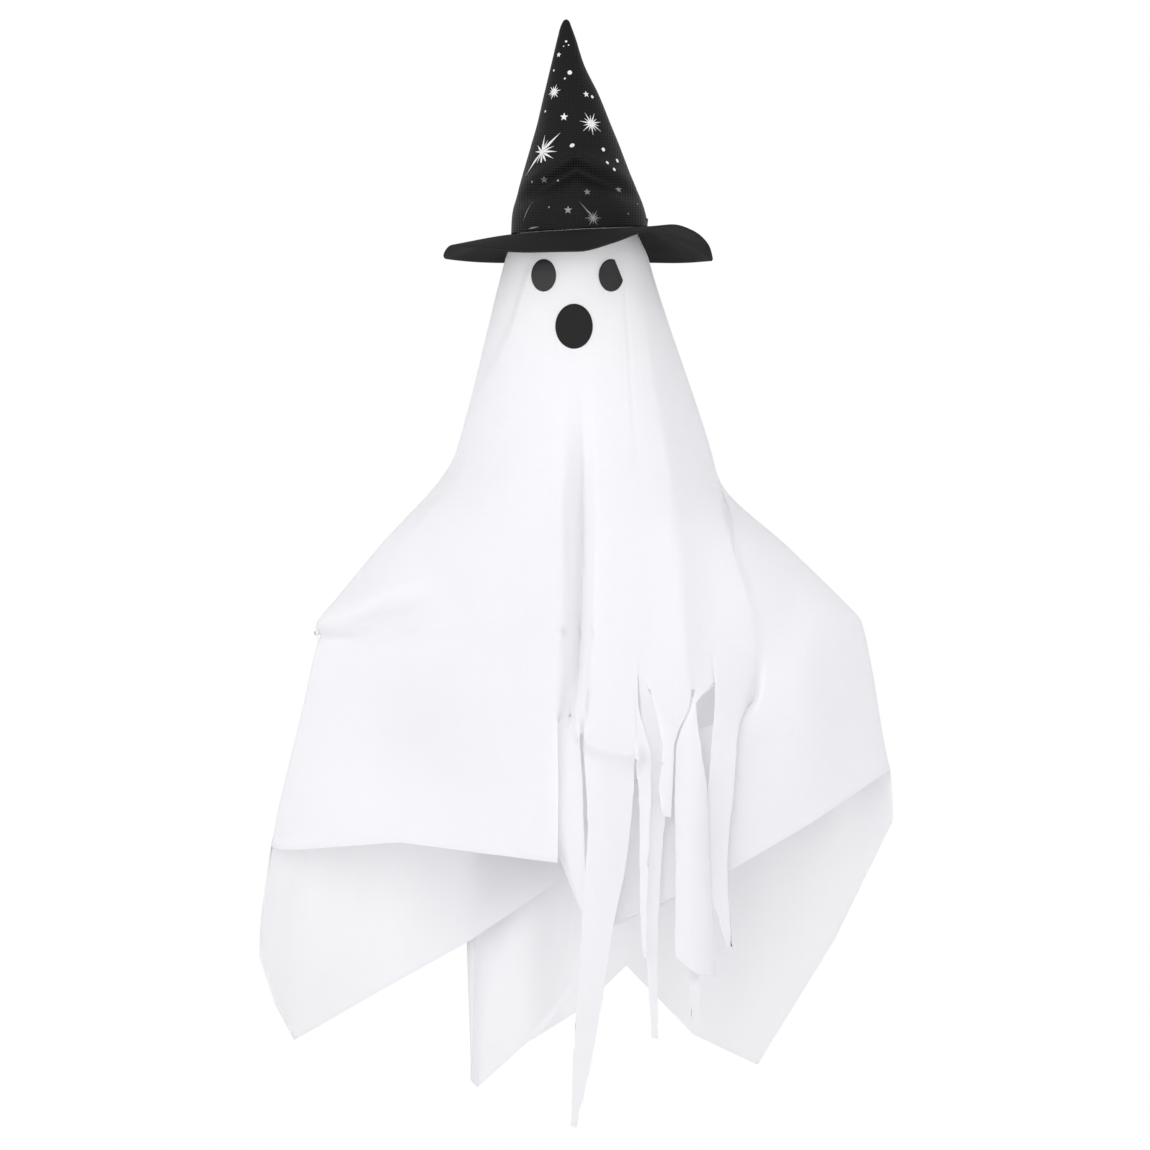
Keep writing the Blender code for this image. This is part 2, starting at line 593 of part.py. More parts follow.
def wrist_knot():
    left = WRIST_LEFT_ACROSS - 40
    start = place(left, 0, WRIST_LEFT_DROP + KNOT_BELOW_WRIST)
    centre = CLOTH_SURFACE.ray_cast(start, Vector((1, 0, 0)))[0].copy()
    while CLOTH_SURFACE.find_nearest(centre)[3] < (KNOT_RADIUS + KNOT_GAP) * MM:
        centre.x -= 0.05 * MM
    mesh = bpy.data.meshes.new("wrist_knot")
    body = bmesh.new()
    bmesh.ops.create_icosphere(body, subdivisions=1, radius=KNOT_RADIUS * MM)
    bmesh.ops.translate(body, vec=centre, verts=body.verts)
    body.to_mesh(mesh)
    body.free()
    for face in mesh.polygons:
        face.use_smooth = True
    mesh.materials.append(material("white thread", (0.85, 0.85, 0.85), 0.8))
    ghost.objects.link(bpy.data.objects.new("wrist_knot", mesh))


wrist_knot()


# Eyes and mouth are ovals of black felt stuck on the cloth; each follows the cloth under it.

FELT_RINGS = 2
FELT_SIDES = 16


def felt_oval(name, across, drop, half, look, cut_corner=None):
    points = []
    rings = [(0.0, 1)] + [(k / FELT_RINGS, FELT_SIDES) for k in range(1, FELT_RINGS + 1)]
    for reach, sides in rings:
        for s in range(sides):
            turn = 2 * math.pi * s / sides
            x = across + half[0] * reach * math.cos(turn)
            d = drop - half[1] * reach * math.sin(turn)
            if cut_corner:
                (x0, d0), (x1, d1) = cut_corner
                outside = (x - x0) * (d1 - d0) - (d - d0) * (x1 - x0)
                if outside > 0:
                    length = (d1 - d0) ** 2 + (x1 - x0) ** 2
                    x -= outside * (d1 - d0) / length
                    d += outside * (x1 - x0) / length
            start = place(x, -3 * HEAD_RADIUS, d)
            hit, normal, face, away = CLOTH_SURFACE.ray_cast(start, Vector((0, 1, 0)))
            points.append(hit - Vector((0, (FELT_GAP + FELT_THICK / 2) * MM, 0)))
    faces = [(0, 1 + s, 1 + (s + 1) % FELT_SIDES) for s in range(FELT_SIDES)]
    for k in range(FELT_RINGS - 1):
        inner = 1 + k * FELT_SIDES
        outer = inner + FELT_SIDES
        for s in range(FELT_SIDES):
            beside = (s + 1) % FELT_SIDES
            faces.append((inner + s, outer + s, outer + beside, inner + beside))
    patch = mesh_object(name, ghost, points, faces, look)
    give_thickness(patch, FELT_THICK)
    return patch


felt_oval(
    "eye_left", EYE_LEFT_ACROSS, EYE_DROP, EYE_HALF, material("eye felt left", (0.02, 0.02, 0.022), 0.5)
)
felt_oval(
    "eye_right", EYE_RIGHT_ACROSS, EYE_DROP, EYE_HALF, material("eye felt right", (0.02, 0.02, 0.022), 0.5),
    ((30.5, EYE_DROP - 14), (37.0, EYE_DROP + 2)),
)
felt_oval(
    "mouth", MOUTH_ACROSS, MOUTH_DROP, MOUTH_HALF, material("mouth felt", (0.012, 0.012, 0.012), 0.9)
)


# The hat: a tall cone of thin black cloth that sags in a crease over the top of the head, and
# a round felt brim under it that droops at both sides and lifts at the front right.

BASE_ANGLE = math.acos((HEAD_DROP - HAT_BASE_DROP) / (HEAD_HALF_HEIGHT + CLOTH_EASE))
CONE_RADIUS = CLOTH_RADIUS * math.sin(BASE_ANGLE) + HAT_EASE
CONE_SIDES = 22
# share of the way down, middle across, half width as a share of the base
CONE_RINGS = [
    (0.012, -8.6, 0.05),
    (0.035, -8.8, 0.088),
    (0.080, -9.0, 0.130),
    (0.21, -8.0, 0.277),
    (0.36, -4.6, 0.468),
    (0.51, -2.4, 0.630),
    (0.62, -1.2, 0.735),
    (0.70, -0.6, 0.800),
    (0.76, -0.4, 0.850),
    (0.82, 0.0, 0.890),
    (0.90, 0.4, 0.960),
    (1.00, 0.8, 1.000),
]
SAG_DEPTH = 3.0


def base_drop(across):
    return HAT_BASE_DROP - HAT_TILT * across


def hat_cone():
    points = [place(-CENTRE_ACROSS, 0, HAT_CLOTH_THICK / 2)]
    for share, middle, wide in CONE_RINGS:
        for s in range(CONE_SIDES):
            turn = 2 * math.pi * s / CONE_SIDES
            radius = CONE_RADIUS * wide
            ahead = math.cos(turn)
            crease = 0.68 + 0.07 * abs(math.sin(turn)) * 2
            over = (share - crease) / 0.05
            sag = SAG_DEPTH * max(0.0, ahead) * (
                math.exp(-((over + 1) ** 2)) - 1.3 * math.exp(-((over - 1) ** 2))
            )
            across = middle + radius * math.sin(turn)
            depth = -(radius + sag) * ahead
            drop = base_drop(across) * share
            points.append(place(across, depth, drop))
    faces = [(0, 1 + (s + 1) % CONE_SIDES, 1 + s) for s in range(CONE_SIDES)]
    for k in range(len(CONE_RINGS) - 1):
        upper = 1 + k * CONE_SIDES
        lower = upper + CONE_SIDES
        for s in range(CONE_SIDES):
            beside = (s + 1) % CONE_SIDES
            faces.append((upper + s, upper + beside, lower + beside, lower + s))
    cone = mesh_object(
        "hat_cone", ghost, points, faces, material("black hat cloth", (0.018, 0.018, 0.02), 0.45)
    )
    give_thickness(cone, HAT_CLOTH_THICK)
    return cone


# the fall of the brim's edge below the cone's base, by the angle round it (0 is the front)
BRIM_EDGE = [
    (-180, 22), (-135, 23), (-105, 22), (-90, 21), (-68, 12), (-45, 14), (-20, 16.5), (0, 15.5),
    (15, 9), (30, 0.5), (45, -3.5), (58, 1.0), (75, 13), (90, 27), (120, 26), (150, 23), (180, 22),
]
BRIM_SIDES = 38
BRIM_STEPS = 3


def hat_brim():
    hole = CONE_RADIUS - BRIM_UNDERLAP
    points = []
    for k in range(BRIM_STEPS + 1):
        out = k / BRIM_STEPS
        radius = hole + (BRIM_RADIUS - hole) * out
        for s in range(BRIM_SIDES):
            degrees = -180 + 360 * s / BRIM_SIDES
            turn = math.radians(degrees)
            fall = smooth_through([a for a, f in BRIM_EDGE], [f for a, f in BRIM_EDGE], [degrees])[0]
            across = 0.8 + radius * math.sin(turn)
            rest = base_drop(across * (1 - out)) + BRIM_GAP + BRIM_THICK / 2
            points.append(place(across, -radius * math.cos(turn), rest + fall * out ** 1.4))
    faces = []
    for k in range(BRIM_STEPS):
        inner = k * BRIM_SIDES
        outer = inner + BRIM_SIDES
        for s in range(BRIM_SIDES):
            beside = (s + 1) % BRIM_SIDES
            faces.append((inner + s, inner + beside, outer + beside, outer + s))
    brim = mesh_object(
        "hat_brim", ghost, points, faces, material("black felt", (0.022, 0.022, 0.022), 0.95)
    )
    give_thickness(brim, BRIM_THICK)
    return brim


hat_cone()
hat_brim()
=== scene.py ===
import math
from collections import namedtuple

import bmesh
import bpy
import numpy as np
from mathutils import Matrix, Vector, noise
from mathutils.bvhtree import BVHTree


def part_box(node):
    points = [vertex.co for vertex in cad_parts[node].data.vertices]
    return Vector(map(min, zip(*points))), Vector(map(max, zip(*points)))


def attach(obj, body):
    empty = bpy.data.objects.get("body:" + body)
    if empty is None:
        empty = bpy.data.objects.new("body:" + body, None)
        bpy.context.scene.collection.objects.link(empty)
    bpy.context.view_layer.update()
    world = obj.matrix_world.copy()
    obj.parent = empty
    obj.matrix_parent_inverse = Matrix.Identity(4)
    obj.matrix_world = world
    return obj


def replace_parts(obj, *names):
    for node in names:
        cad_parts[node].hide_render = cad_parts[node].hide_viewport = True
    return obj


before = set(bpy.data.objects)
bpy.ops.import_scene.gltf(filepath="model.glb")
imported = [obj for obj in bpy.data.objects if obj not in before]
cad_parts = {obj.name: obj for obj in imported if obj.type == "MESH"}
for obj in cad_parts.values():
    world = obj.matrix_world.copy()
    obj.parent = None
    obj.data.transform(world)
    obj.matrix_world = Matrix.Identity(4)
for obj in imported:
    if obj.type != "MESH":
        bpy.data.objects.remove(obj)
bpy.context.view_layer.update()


# The head: one egg of white expanded foam, moulded, with a fine beaded skin. The cloth lies
# on it and the hat is pushed down over both. Only the view from below shows it.

HEAD_RADIUS = 52.0
HEAD_HALF_HEIGHT = 74.0
HEAD_DROP = 205.0
FOAM_WHITE = (0.88, 0.88, 0.865)
FOAM_SHADE = (0.82, 0.82, 0.80)
FOAM_BEADS = 420.0       # to the metre


class Number:
    """A number on its way through a material; an expression on it adds Math nodes."""

    def __init__(self, finish, socket):
        self.finish = finish
        self.socket = socket

    def maths(self, operation, *values):
        return self.finish.node("Math", {"operation": operation}, dict(enumerate(values)))

    def __add__(self, other):
        return self.maths("ADD", self, other)

    def __mul__(self, other):
        return self.maths("MULTIPLY", self, other)

    __radd__ = __add__

    def over(self, edge, width):
        """0 below the edge, 1 above it, and a smooth step of that width between."""
        return self.finish.node(
            "MapRange", {"interpolation_type": "SMOOTHSTEP"}, {0: self, 1: edge, 2: edge + width}
        )


class Finish:
    """The nodes of one material, or of the world round the ghost."""

    def __init__(self, name, kind=bpy.data.materials):
        self.material = kind.new(name)
        self.material.use_nodes = True
        self.tree = self.material.node_tree
        self.tree.nodes.clear()

    def node(self, kind, settings=None, sockets=None, output=0):
        """Any node: its type, its settings, then the values or links of its sockets."""
        made = self.tree.nodes.new("ShaderNode" + kind)
        for name, value in (settings or {}).items():
            setattr(made, name, value)
        for name, value in (sockets or {}).items():
            socket = made.inputs[name]
            if isinstance(value, Number):
                self.tree.links.new(value.socket, socket)
            elif socket.type == "RGBA" and len(value) == 3:
                socket.default_value = (*value, 1.0)
            else:
                socket.default_value = value
        return Number(self, made.outputs[output]) if made.outputs else None

    def place(self):
        return self.node("TexCoord", output="Object")

    def grain(self, scale, detail=3.0, stretch=(1, 1, 1)):
        """Soft noise from 0 to 1, with this many grains to the metre."""
        at = self.node("Mapping", {}, {"Vector": self.place(), "Scale": stretch})
        return self.node("TexNoise", {}, {"Vector": at, "Scale": scale, "Detail": detail})

    def bands(self, direction, scale):
        """Soft stripes from 0 to 1, one after the other in this direction."""
        settings = {"wave_type": "BANDS", "bands_direction": direction}
        return self.node("TexWave", settings, {"Vector": self.place(), "Scale": scale})

    def blend(self, factor, first, second):
        """A colour between two colours."""
        return self.node("Mix", {"data_type": "RGBA"}, {0: factor, 6: first, 7: second}, 2)

    def bump(self, height, depth):
        """The surface's own direction, disturbed by this height; depth is in metres."""
        return self.node("Bump", {}, {"Height": height, "Distance": depth, "Strength": 1.0})

    def solid(self, colour, roughness, normal=None, **others):
        sockets = {"Base Color": colour, "Roughness": roughness}
        if normal is not None:
            sockets["Normal"] = normal
        for name, value in others.items():
            sockets[name.replace("_", " ")] = value
        return self.node("BsdfPrincipled", {}, sockets)

    def done(self, shader, output="OutputMaterial"):
        self.node(output, {}, {"Surface": shader})
        return self.material


def foam_finish():
    foam = Finish("white foam")
    beads = foam.node(
        "TexVoronoi", {"feature": "SMOOTH_F1"}, {"Vector": foam.place(), "Scale": FOAM_BEADS}
    )
    shade = foam.blend(foam.grain(90.0), FOAM_SHADE, FOAM_WHITE)
    return foam.done(foam.solid(shade, 0.8 + beads * 0.15, foam.bump(beads, 0.0004)))


def dress(name, look):
    """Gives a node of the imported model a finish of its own."""
    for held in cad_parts[name].material_slots:
        held.material = look


dress("head_form", foam_finish())


# The arm wire: one length of white enamelled steel wire through the base of the head. It is
# bent down to the two wrists by hand and ends in a small eye at each, inside the cloth.

WIRE_WHITE = (0.84, 0.84, 0.83)
WIRE_SHADE = (0.78, 0.78, 0.77)
ALONG_WIRE = (0.2, 1, 1)


def wire_finish():
    wire = Finish("white enamelled wire")
    drawn = wire.grain(260.0, 2.0, ALONG_WIRE)
    shade = wire.blend(drawn, WIRE_WHITE, WIRE_SHADE)
    return wire.done(wire.solid(shade, 0.3 + drawn * 0.2, wire.bump(drawn, 0.0001)))


dress("arm_wire", wire_finish())


# The cloth: one hemmed square of thin white polyester, hung corner to the front over the head
# and the wire, its front corner cut into ragged strips. A guide line runs down each fold, edge
# and corner. Millimetres: drop is below the hat's tip, across is right of the centre line.

MM = 0.001
CENTRE_ACROSS = 9.0
WRIST_LEFT_ACROSS, WRIST_LEFT_DROP = -214.0, 498.0
WRIST_RIGHT_ACROSS, WRIST_RIGHT_DROP = 234.0, 496.0
CLOTH_THICK = 0.34
HEM_THICK = 1.5
HEM_WIDE = 5.0
HEM_FADE = 1.5
CLOTH_EASE = 1.6
BROW_FULLNESS = 5.0
BROW_DROP = 197.0
ABOVE_BROW = BROW_DROP - 8
FRONT_CORNER_DROP = 914.0
CLOTH_RADIUS = HEAD_RADIUS + CLOTH_EASE
BROW_HALF = CLOTH_RADIUS + BROW_FULLNESS
CLOTH_WHITE = (0.97, 0.97, 0.98)
CLOTH_THIN = (0.955, 0.955, 0.968)
CLOTH_THREADS = 330.0
SEEN_THROUGH = 0.6       # share of the light that comes through the cloth

CROWN_ANGLES = (17, 35, 53, 70)
CROWN_DROPS = [
    HEAD_DROP - (HEAD_HALF_HEIGHT + CLOTH_EASE) * math.cos(math.radians(a)) for a in CROWN_ANGLES
]
CROWN_HALVES = [CLOTH_RADIUS * math.sin(math.radians(a)) for a in CROWN_ANGLES]

# the two sides of the drape below the brow, as (down, to the right) from the wrist
LEFT_FROM_WRIST = [
    (-143, 115), (-137, 113), (-60, 49), (-14, 11), (-1, 0), (4, -2.5), (10, 3), (16, 0.5),
    (65, -11), (185, -38), (277, -49), (416, -49),
]
RIGHT_FROM_WRIST = [
    (-141, -124), (-116, -117), (-58, -58), (-10, -9), (0, 0), (6, 2), (104, 20), (125, 24),
    (167, 27), (418, 27),
]


def side_outline(side, wrist_drop, wrist_across, from_wrist):
    """One side of the drape as (drop, across); the side is -1 at the left, 1 at the right."""
    brow = [(BROW_DROP, side * BROW_HALF), (BROW_DROP + 11, side * (BROW_HALF + 3))]
    return brow + [(wrist_drop + down, wrist_across + right) for down, right in from_wrist]


LEFT_OUTLINE = side_outline(-1, WRIST_LEFT_DROP, WRIST_LEFT_ACROSS, LEFT_FROM_WRIST)
RIGHT_OUTLINE = side_outline(1, WRIST_RIGHT_DROP, WRIST_RIGHT_ACROSS, RIGHT_FROM_WRIST)
# half of the drape's depth, given below the brow as (drop, how much more than over the head)
DEPTHS = [(BROW_DROP, BROW_HALF - 4)] + [(drop, CLOTH_RADIUS + more) for drop, more in [
    (282, 3), (356, 7), (440, 12), (513, 16), (612, 22), (685, 27), (810, 33),
    (FRONT_CORNER_DROP, 36),
]]
# 2 is round like the head; smaller is a flat tent with an edge over each arm
ROUNDNESS = [
    (BROW_DROP, 2.0), (225, 1.7), (282, 1.4), (356, 1.3), (513, 1.2), (FRONT_CORNER_DROP, 1.2),
]

# points and end are (drop, across) or (drop, None, angle); push is (drop, how far back); columns
# are those to the next line; a slit, where there is one, opens between the two at this drop
BEHIND_FROM = 113        # degrees; a guide that leaves the head from here on hangs behind
Guide = namedtuple("Guide", "name head_angle points end push columns slit", defaults=[None])
GUIDES = [Guide(*line) for line in [
    ("left edge", -90, [], (683, None, -90), [(356, 0)], 1),
    ("left band", -68, [(343, -98), (361, -96), (430, -141), (498, -192)], (686, -243), [(205, 0)],
     1),
    ("left pleat", -62, [(343, -94), (361, -91), (430, -131), (498, -180)], (686, -232), [(205, 0)],
     5),
    ("left chest", -34, [(257, -37), (356, -60), (440, -88), (513, -113)], (679, -146), [(205, 0)],
     4),
    ("left shoulder", -10, [(282, -8), (356, -8), (513, -12), (546, -15)], (695, -16), [(520, 0),
     (560, -2), (695, -3)], 1, 575),
    ("valley", -4, [(282, 1), (356, 3), (410, 3), (513, -1), (563, -10), (600, -20), (650, -20)],
     (688, -16), [(520, 0), (560, 3), (600, 10), (688, 15)], 2),
    ("leaf left", 0, [(356, 9), (513, 5), (563, -3), (591, -4), (650, -9), (681, -7)], (738, 5),
     [(520, 0), (560, 0), (600, 2), (738, 2)], 1),
    ("leaf right", 3, [(356, 12), (513, 8), (563, 1), (591, 2), (650, 5), (681, 6)], (739, 8),
     [(520, 0), (560, -3), (600, 1), (738, 1)], 1, 590),
    ("tatter left", 4, [(356, 14), (513, 10), (591, 5), (681, 9), (750, 4), (783, -1)], (836, -37),
     [(520, 0), (570, 0), (600, 8), (836, 10)], 1),
    ("tatter right", 5, [(356, 16), (513, 12), (591, 7), (681, 20), (750, 14), (783, 6)],
     (838, -33), [(520, 0), (570, -1), (600, 8), (836, 10)], 1, 584),
    ("long left", 7, [(356, 18), (513, 14), (591, 6), (681, 8), (750, 4), (804, 0), (855, -3)],
     (910, -5), [(520, 0), (600, -2), (914, -3)], 2),
    ("long right", 24, [(310, 27), (513, 43), (563, 47), (605, 47), (681, 42), (750, 29), (804, 21),
     (855, 12)], (912, -1), [(520, 0), (600, -2), (914, -3)], 1, 611),
    ("thin left", 27, [(310, 30), (513, 46), (563, 48.5), (608, 48.5), (650, 51), (681, 51)],
     (772, 54), [(520, 0), (596, -2), (608, -7), (620, -6), (640, -4), (775, -4)], 1),
    ("thin right", 30, [(310, 33), (513, 48), (543, 49.5), (563, 50), (608, 60), (640, 60),
     (681, 59)], (774, 57), [(520, 0), (600, -2), (622, -5), (776, -5)], 1, 543),
    ("hidden left", 33, [(310, 37), (513, 52), (543, 50.5), (563, 52), (612, 56), (681, 57)],
     (838, 61), [(520, 0), (543, 1), (591, 5), (838, 6)], 1),
    ("hidden right", 37, [(310, 41), (513, 56), (543, 55), (563, 63), (602, 76), (681, 70)],
     (840, 66), [(520, 0), (543, 1), (591, 5), (838, 6)], 1, 552),
    ("crease", 41, [(214, 39), (310, 45), (513, 61), (552, 60), (568, 64), (602, 70), (637, 67)],
     (656, 70), [(520, 0), (580, -1), (656, -2)], 2),
    ("shade line", 60, [(214, 53), (298, 63), (393, 79), (513, 89), (548, 93.5), (566, 92),
     (590, 82), (605, 79)], (658, 77), [(520, 0), (560, -1), (656, -2)], 1, 554),
    ("tube left", 66, [(298, 68), (393, 84), (513, 94), (548, 97), (566, 94), (590, 84), (605, 81),
     (640, 80), (686, 81)], (772, 81), [(520, 0), (575, -1), (612, 0), (650, -5), (788, -8)], 1),
    ("tube front", 69, [(298, 71), (393, 89), (513, 100), (548, 104), (566, 95.5), (602, 94),
     (686, 93)], (786, 98), [(520, 0), (560, -2), (600, -6), (650, -11), (788, -13)], 1),
    ("tube right", 72, [(298, 74), (393, 93), (513, 107), (548, 111), (554, 106), (566, 97.5),
     (604, 102), (645, 107), (684, 108)], (788, 115), [(520, 0), (560, -2), (612, -7), (788, -7)],
     1, 548),
    ("under left", 74, [(298, 76), (393, 96), (513, 109), (548, 112), (566, 88), (686, 90)],
     (823, 94), [(520, 0), (550, 1), (591, 5), (825, 4)], 1),
    ("under right", 76, [(298, 78), (393, 99), (513, 111), (548, 112.7), (566, 95), (604, 99),
     (686, 103)], (825, 100), [(520, 0), (545, 1), (591, 5), (825, 4)], 1, 548),
    ("tail left", 79, [(298, 81), (393, 103), (513, 114), (548, 113.5), (566, 113), (590, 111),
     (608, 109.5), (645, 107), (686, 105)], (763, 122), [(520, 0), (560, -2), (763, -3)], 2),
    ("pleat edge", 83, [(380, 114), (439, 129), (486, 142), (513, 142), (563, 137), (600, 131),
     (645, 128), (686, 124)], (765, 127), [(520, 0), (560, 0), (610, -3), (763, -4)], 1),
    ("pleat back", 87, [(380, None, 84), (410, 119), (439, 130), (486, 146), (513, 147), (560, 142),
     (600, 127), (645, 118), (686, 112)], (716, 110), [(520, 0), (560, 4), (610, 16), (763, 16)],
     2),
    ("pleat inside", 92, [(380, None, 90), (410, 122), (439, 134), (486, 150), (513, 151),
     (560, 146), (600, 76), (645, 40), (700, 30)], (750, 24), [(513, 0), (560, 10), (600, 28),
     (645, 30), (750, 26)], 3),
    ("right panel", 98, [(380, None, 97), (439, 143), (486, 156), (513, 162), (563, 151),
     (645, 139)], (699, 131), [(513, 0), (560, 2), (610, 6), (699, 8)], 3),
    ("right chest", 105, [(380, None, 103), (439, 160), (513, 190), (621, 196)], (663, 193),
     [(380, 0), (513, 1), (663, 4)], 3),
    ("right edge", 111, [(380, None, 109), (439, None, 95), (486, None, 90)], (621, None, 90),
     [(356, 0)], 1),
    ("right turn", 116, [(380, None, 113), (439, 166), (513, 232), (600, 252)], (663, 260),
     [(356, 0), (513, 2)], 2),
    ("right hem", 124, [(439, 140), (513, 212), (639, 222)], (762, 213), [(257, 0), (356, 4),
     (513, 8), (762, 6)], 3),
    ("right corner", 134, [(439, 112), (513, 170), (686, 158)], (866, 150), [(257, 0), (356, -4),
     (513, -8), (866, -2)], 2),
    ("right scallop", 146, [(439, 86), (513, 112), (686, 104)], (842, 97), [(257, 0), (356, 6),
     (513, 12), (842, 14)], 2),
    ("back notch", 158, [(439, 54), (513, 70), (686, 52)], (784, 41), [(257, 0), (356, -8),
     (513, -14), (784, -12)], 2),
    ("back hem", 170, [(439, 20), (513, 28), (686, 4)], (824, -1), [(257, 0), (356, 6), (513, 12),
     (824, 10)], 2),
    ("back hem left", 182, [(439, -10), (513, -8), (686, -36)], (848, -41), [(257, 0), (356, -3),
     (513, -6), (848, 2)], 2),
    ("back corner", 193, [(439, -34), (513, -42), (686, -74)], (886, -83), [(257, 0), (356, 5),
     (513, 12), (886, 14)], 1),
    ("back fold", 201, [(439, -44), (513, -56), (686, -86)], (879, -88), [(257, 0), (356, 2),
     (513, 6), (686, 10), (886, 10)], 1),
    ("under fold", 207, [(439, -52), (513, -64), (686, -80)], (757, -84), [(257, 0), (356, -2),
     (513, 0), (757, 2)], 1),
    ("fold back", 211, [(439, -60), (513, -68), (612, -44)], (716, -18), [(257, 0), (356, -4),
     (513, -6), (716, -8)], 1),
    ("inner fold", 214, [(439, -66), (513, -70), (612, -34)], (704, -2), [(257, 0), (356, -6),
     (513, -16), (612, -20), (704, -24)], 3),
    ("left hem", 224, [(439, -84), (513, -112), (686, -94)], (762, -87), [(257, 0), (356, 2),
     (513, -5), (762, -12)], 3),
    ("left scallop", 237, [(439, -104), (513, -152), (686, -158)], (804, -163), [(257, 0),
     (356, -4), (513, -8), (804, -4)], 3),
    ("left corner", 250, [(439, -122), (513, -186), (686, -222)], (844, -234), [(356, 0), (513, 3)],
     1),
    ("left corner edge", 256, [(439, -136), (513, -202), (686, -240)], (815, -249), [(356, 0)], 1),
    ("left turn", 263, [(439, -150), (513, -212), (686, -249)], (775, -262), [(356, 0)], 1),
]]
KNOTS = np.concatenate([[0], np.cumsum([g.columns for g in GUIDES])]).astype(float)
# soft hollows (+) and swells (-) in the front: drop, across, half width, half height, tilt, push
DIMPLES = [
    (502, -170, 46, 10, 0.30, 15.0),
    (482, -178, 44, 10, 0.36, -7.0),
    (620, -140, 60, 60, 0.25, 13.0),
    (455, -120, 14, 60, 0.60, 4.0),
    (500, 172, 20, 70, -0.50, 4.0),
    (560, 190, 26, 60, 0.15, -4.0),
]
# long folds of the front, each along a line of (drop, across): how deep it is at each drop
# (forward is -), how far it reaches to the left and to the right of its line, and how soon it
# fades (1 is a straight slope)
FOLDS = [
    ("valley", [(330, 4), (356, 5), (410, 5), (513, 2.5), (620, -4)],
     [(282, 0), (330, 4), (370, 14), (450, 19), (550, 18), (592, 0)], 14, 10, 1.0),
    ("bright side", [(214, 53), (298, 63), (393, 79), (513, 88.5), (620, 94)],
     [(205, 0), (257, -5), (393, -7), (513, -8), (575, -3), (600, 0)], 66, 34, 2),
    ("thin crease", [(214, 39), (310, 45), (513, 63), (620, 74)],
     [(205, 0), (240, 1), (513, 1), (545, 0)], 4, 4, 2),
    ("turned band", [(197, -33), (205, -38), (253, -54), (294, -74), (343, -97), (361, -98)],
     [(190, 0), (215, -4), (300, -4), (343, -2), (361, 0)], 4, 46, 2),
    ("left pleat", [(343, -97), (361, -93), (430, -143), (498, -186)],
     [(335, 0), (361, -2.5), (440, -2), (498, 0)], 7, 34, 2),
    ("right pleat", [(380, 117), (439, 129), (486, 143), (513, 147), (600, 158)],
     [(380, 0), (400, -2), (470, -2.2), (520, -1), (560, 0)], 40, 8, 2),
]
# the rolled edge above the long strip, along a line of (across, drop): how far it stands out,
# and how far it reaches above and below its line
ROLL = [(-6, 578), (0, 588), (9, 597), (20, 602), (34, 606), (52, 609)]
ROLL_OUT = 6.5
ROLL_ABOVE = 16.0
ROLL_BELOW = 12.0
ROLL_FADE = 1.5
EDGE_FADE = 1.4          # the front's folds fade out towards the edges over the arms
ROW_STEP = 6.0
TORN_DROP = 540.0        # the slits open below this, where the rows are closer
TORN_ROW_STEP = 2.6
SKIRT_DROP = 612.0
HEM_ROWS = 40
HEM_SPREAD = 12.0
COLUMN_SPLIT = 4

# the spare width of the cloth hangs in folds behind: how many, between which guides, how deep
GATHERS = 8.5
GATHERS_FROM = "right turn"
GATHERS_TO = "left turn"
GATHER_DEPTH = [
    (ABOVE_BROW, 0), (260, 5), (356, 18), (440, 32), (560, 41), (640, 27), (684, 4),
    (760, 2), (FRONT_CORNER_DROP, 2),
]
GATHERS_INWARD = 0.35    # share of their depth by which the folds are drawn in
GATHERS_EVEN = 0.4       # below 1, the folds at the two sides are nearly as deep as the rest


def place(across, depth, drop):
    """A point of the frame from millimetres across, back and down."""
    return Vector(((across + CENTRE_ACROSS) * MM, depth * MM, -drop * MM))


def knot_of(name):
    return KNOTS[[g.name for g in GUIDES].index(name)]


def smooth_through(knots, values, wanted):
    """A curve through the knots that never swings past them."""
    knots = np.asarray(knots, float)
    values = np.asarray(values, float)
    steps = np.diff(knots)
    slopes = np.diff(values) / steps
    tangents = np.zeros(len(knots))
    for i in range(1, len(knots) - 1):
        if slopes[i - 1] * slopes[i] > 0:
            w1 = 2 * steps[i] + steps[i - 1]
            w2 = steps[i] + 2 * steps[i - 1]
            tangents[i] = (w1 + w2) / (w1 / slopes[i - 1] + w2 / slopes[i])
    tangents[0] = slopes[0]
    tangents[-1] = slopes[-1]
    wanted = np.clip(np.asarray(wanted, float), knots[0], knots[-1])
    at = np.clip(np.searchsorted(knots, wanted, side="right") - 1, 0, len(steps) - 1)
    h = steps[at]
    t = (wanted - knots[at]) / h
    return (
        values[at] * (1 + 2 * t) * (1 - t) ** 2
        + tangents[at] * h * t * (1 - t) ** 2
        + values[at + 1] * t * t * (3 - 2 * t)
        + tangents[at + 1] * h * t * t * (t - 1)
    )


def curve(pairs, wanted):
    """The smooth curve through pairs of a place and a value."""
    knots, values = zip(*pairs)
    return smooth_through(knots, values, wanted)


def outline_at(profile, drops, crown):
    knots = CROWN_DROPS + [d for d, v in profile]
    values = crown + [v for d, v in profile]
    return smooth_through(knots, values, drops)


def section_at(drops):
    """The middle, half width, half depth and roundness of the drape at these drops."""
    left = outline_at(LEFT_OUTLINE, drops, [-h for h in CROWN_HALVES])
    right = outline_at(RIGHT_OUTLINE, drops, CROWN_HALVES)
    deep = outline_at(DEPTHS, drops, CROWN_HALVES)
    roundness = outline_at(ROUNDNESS, drops, [2.0] * len(CROWN_HALVES))
    return (left + right) / 2, (right - left) / 2, deep, roundness


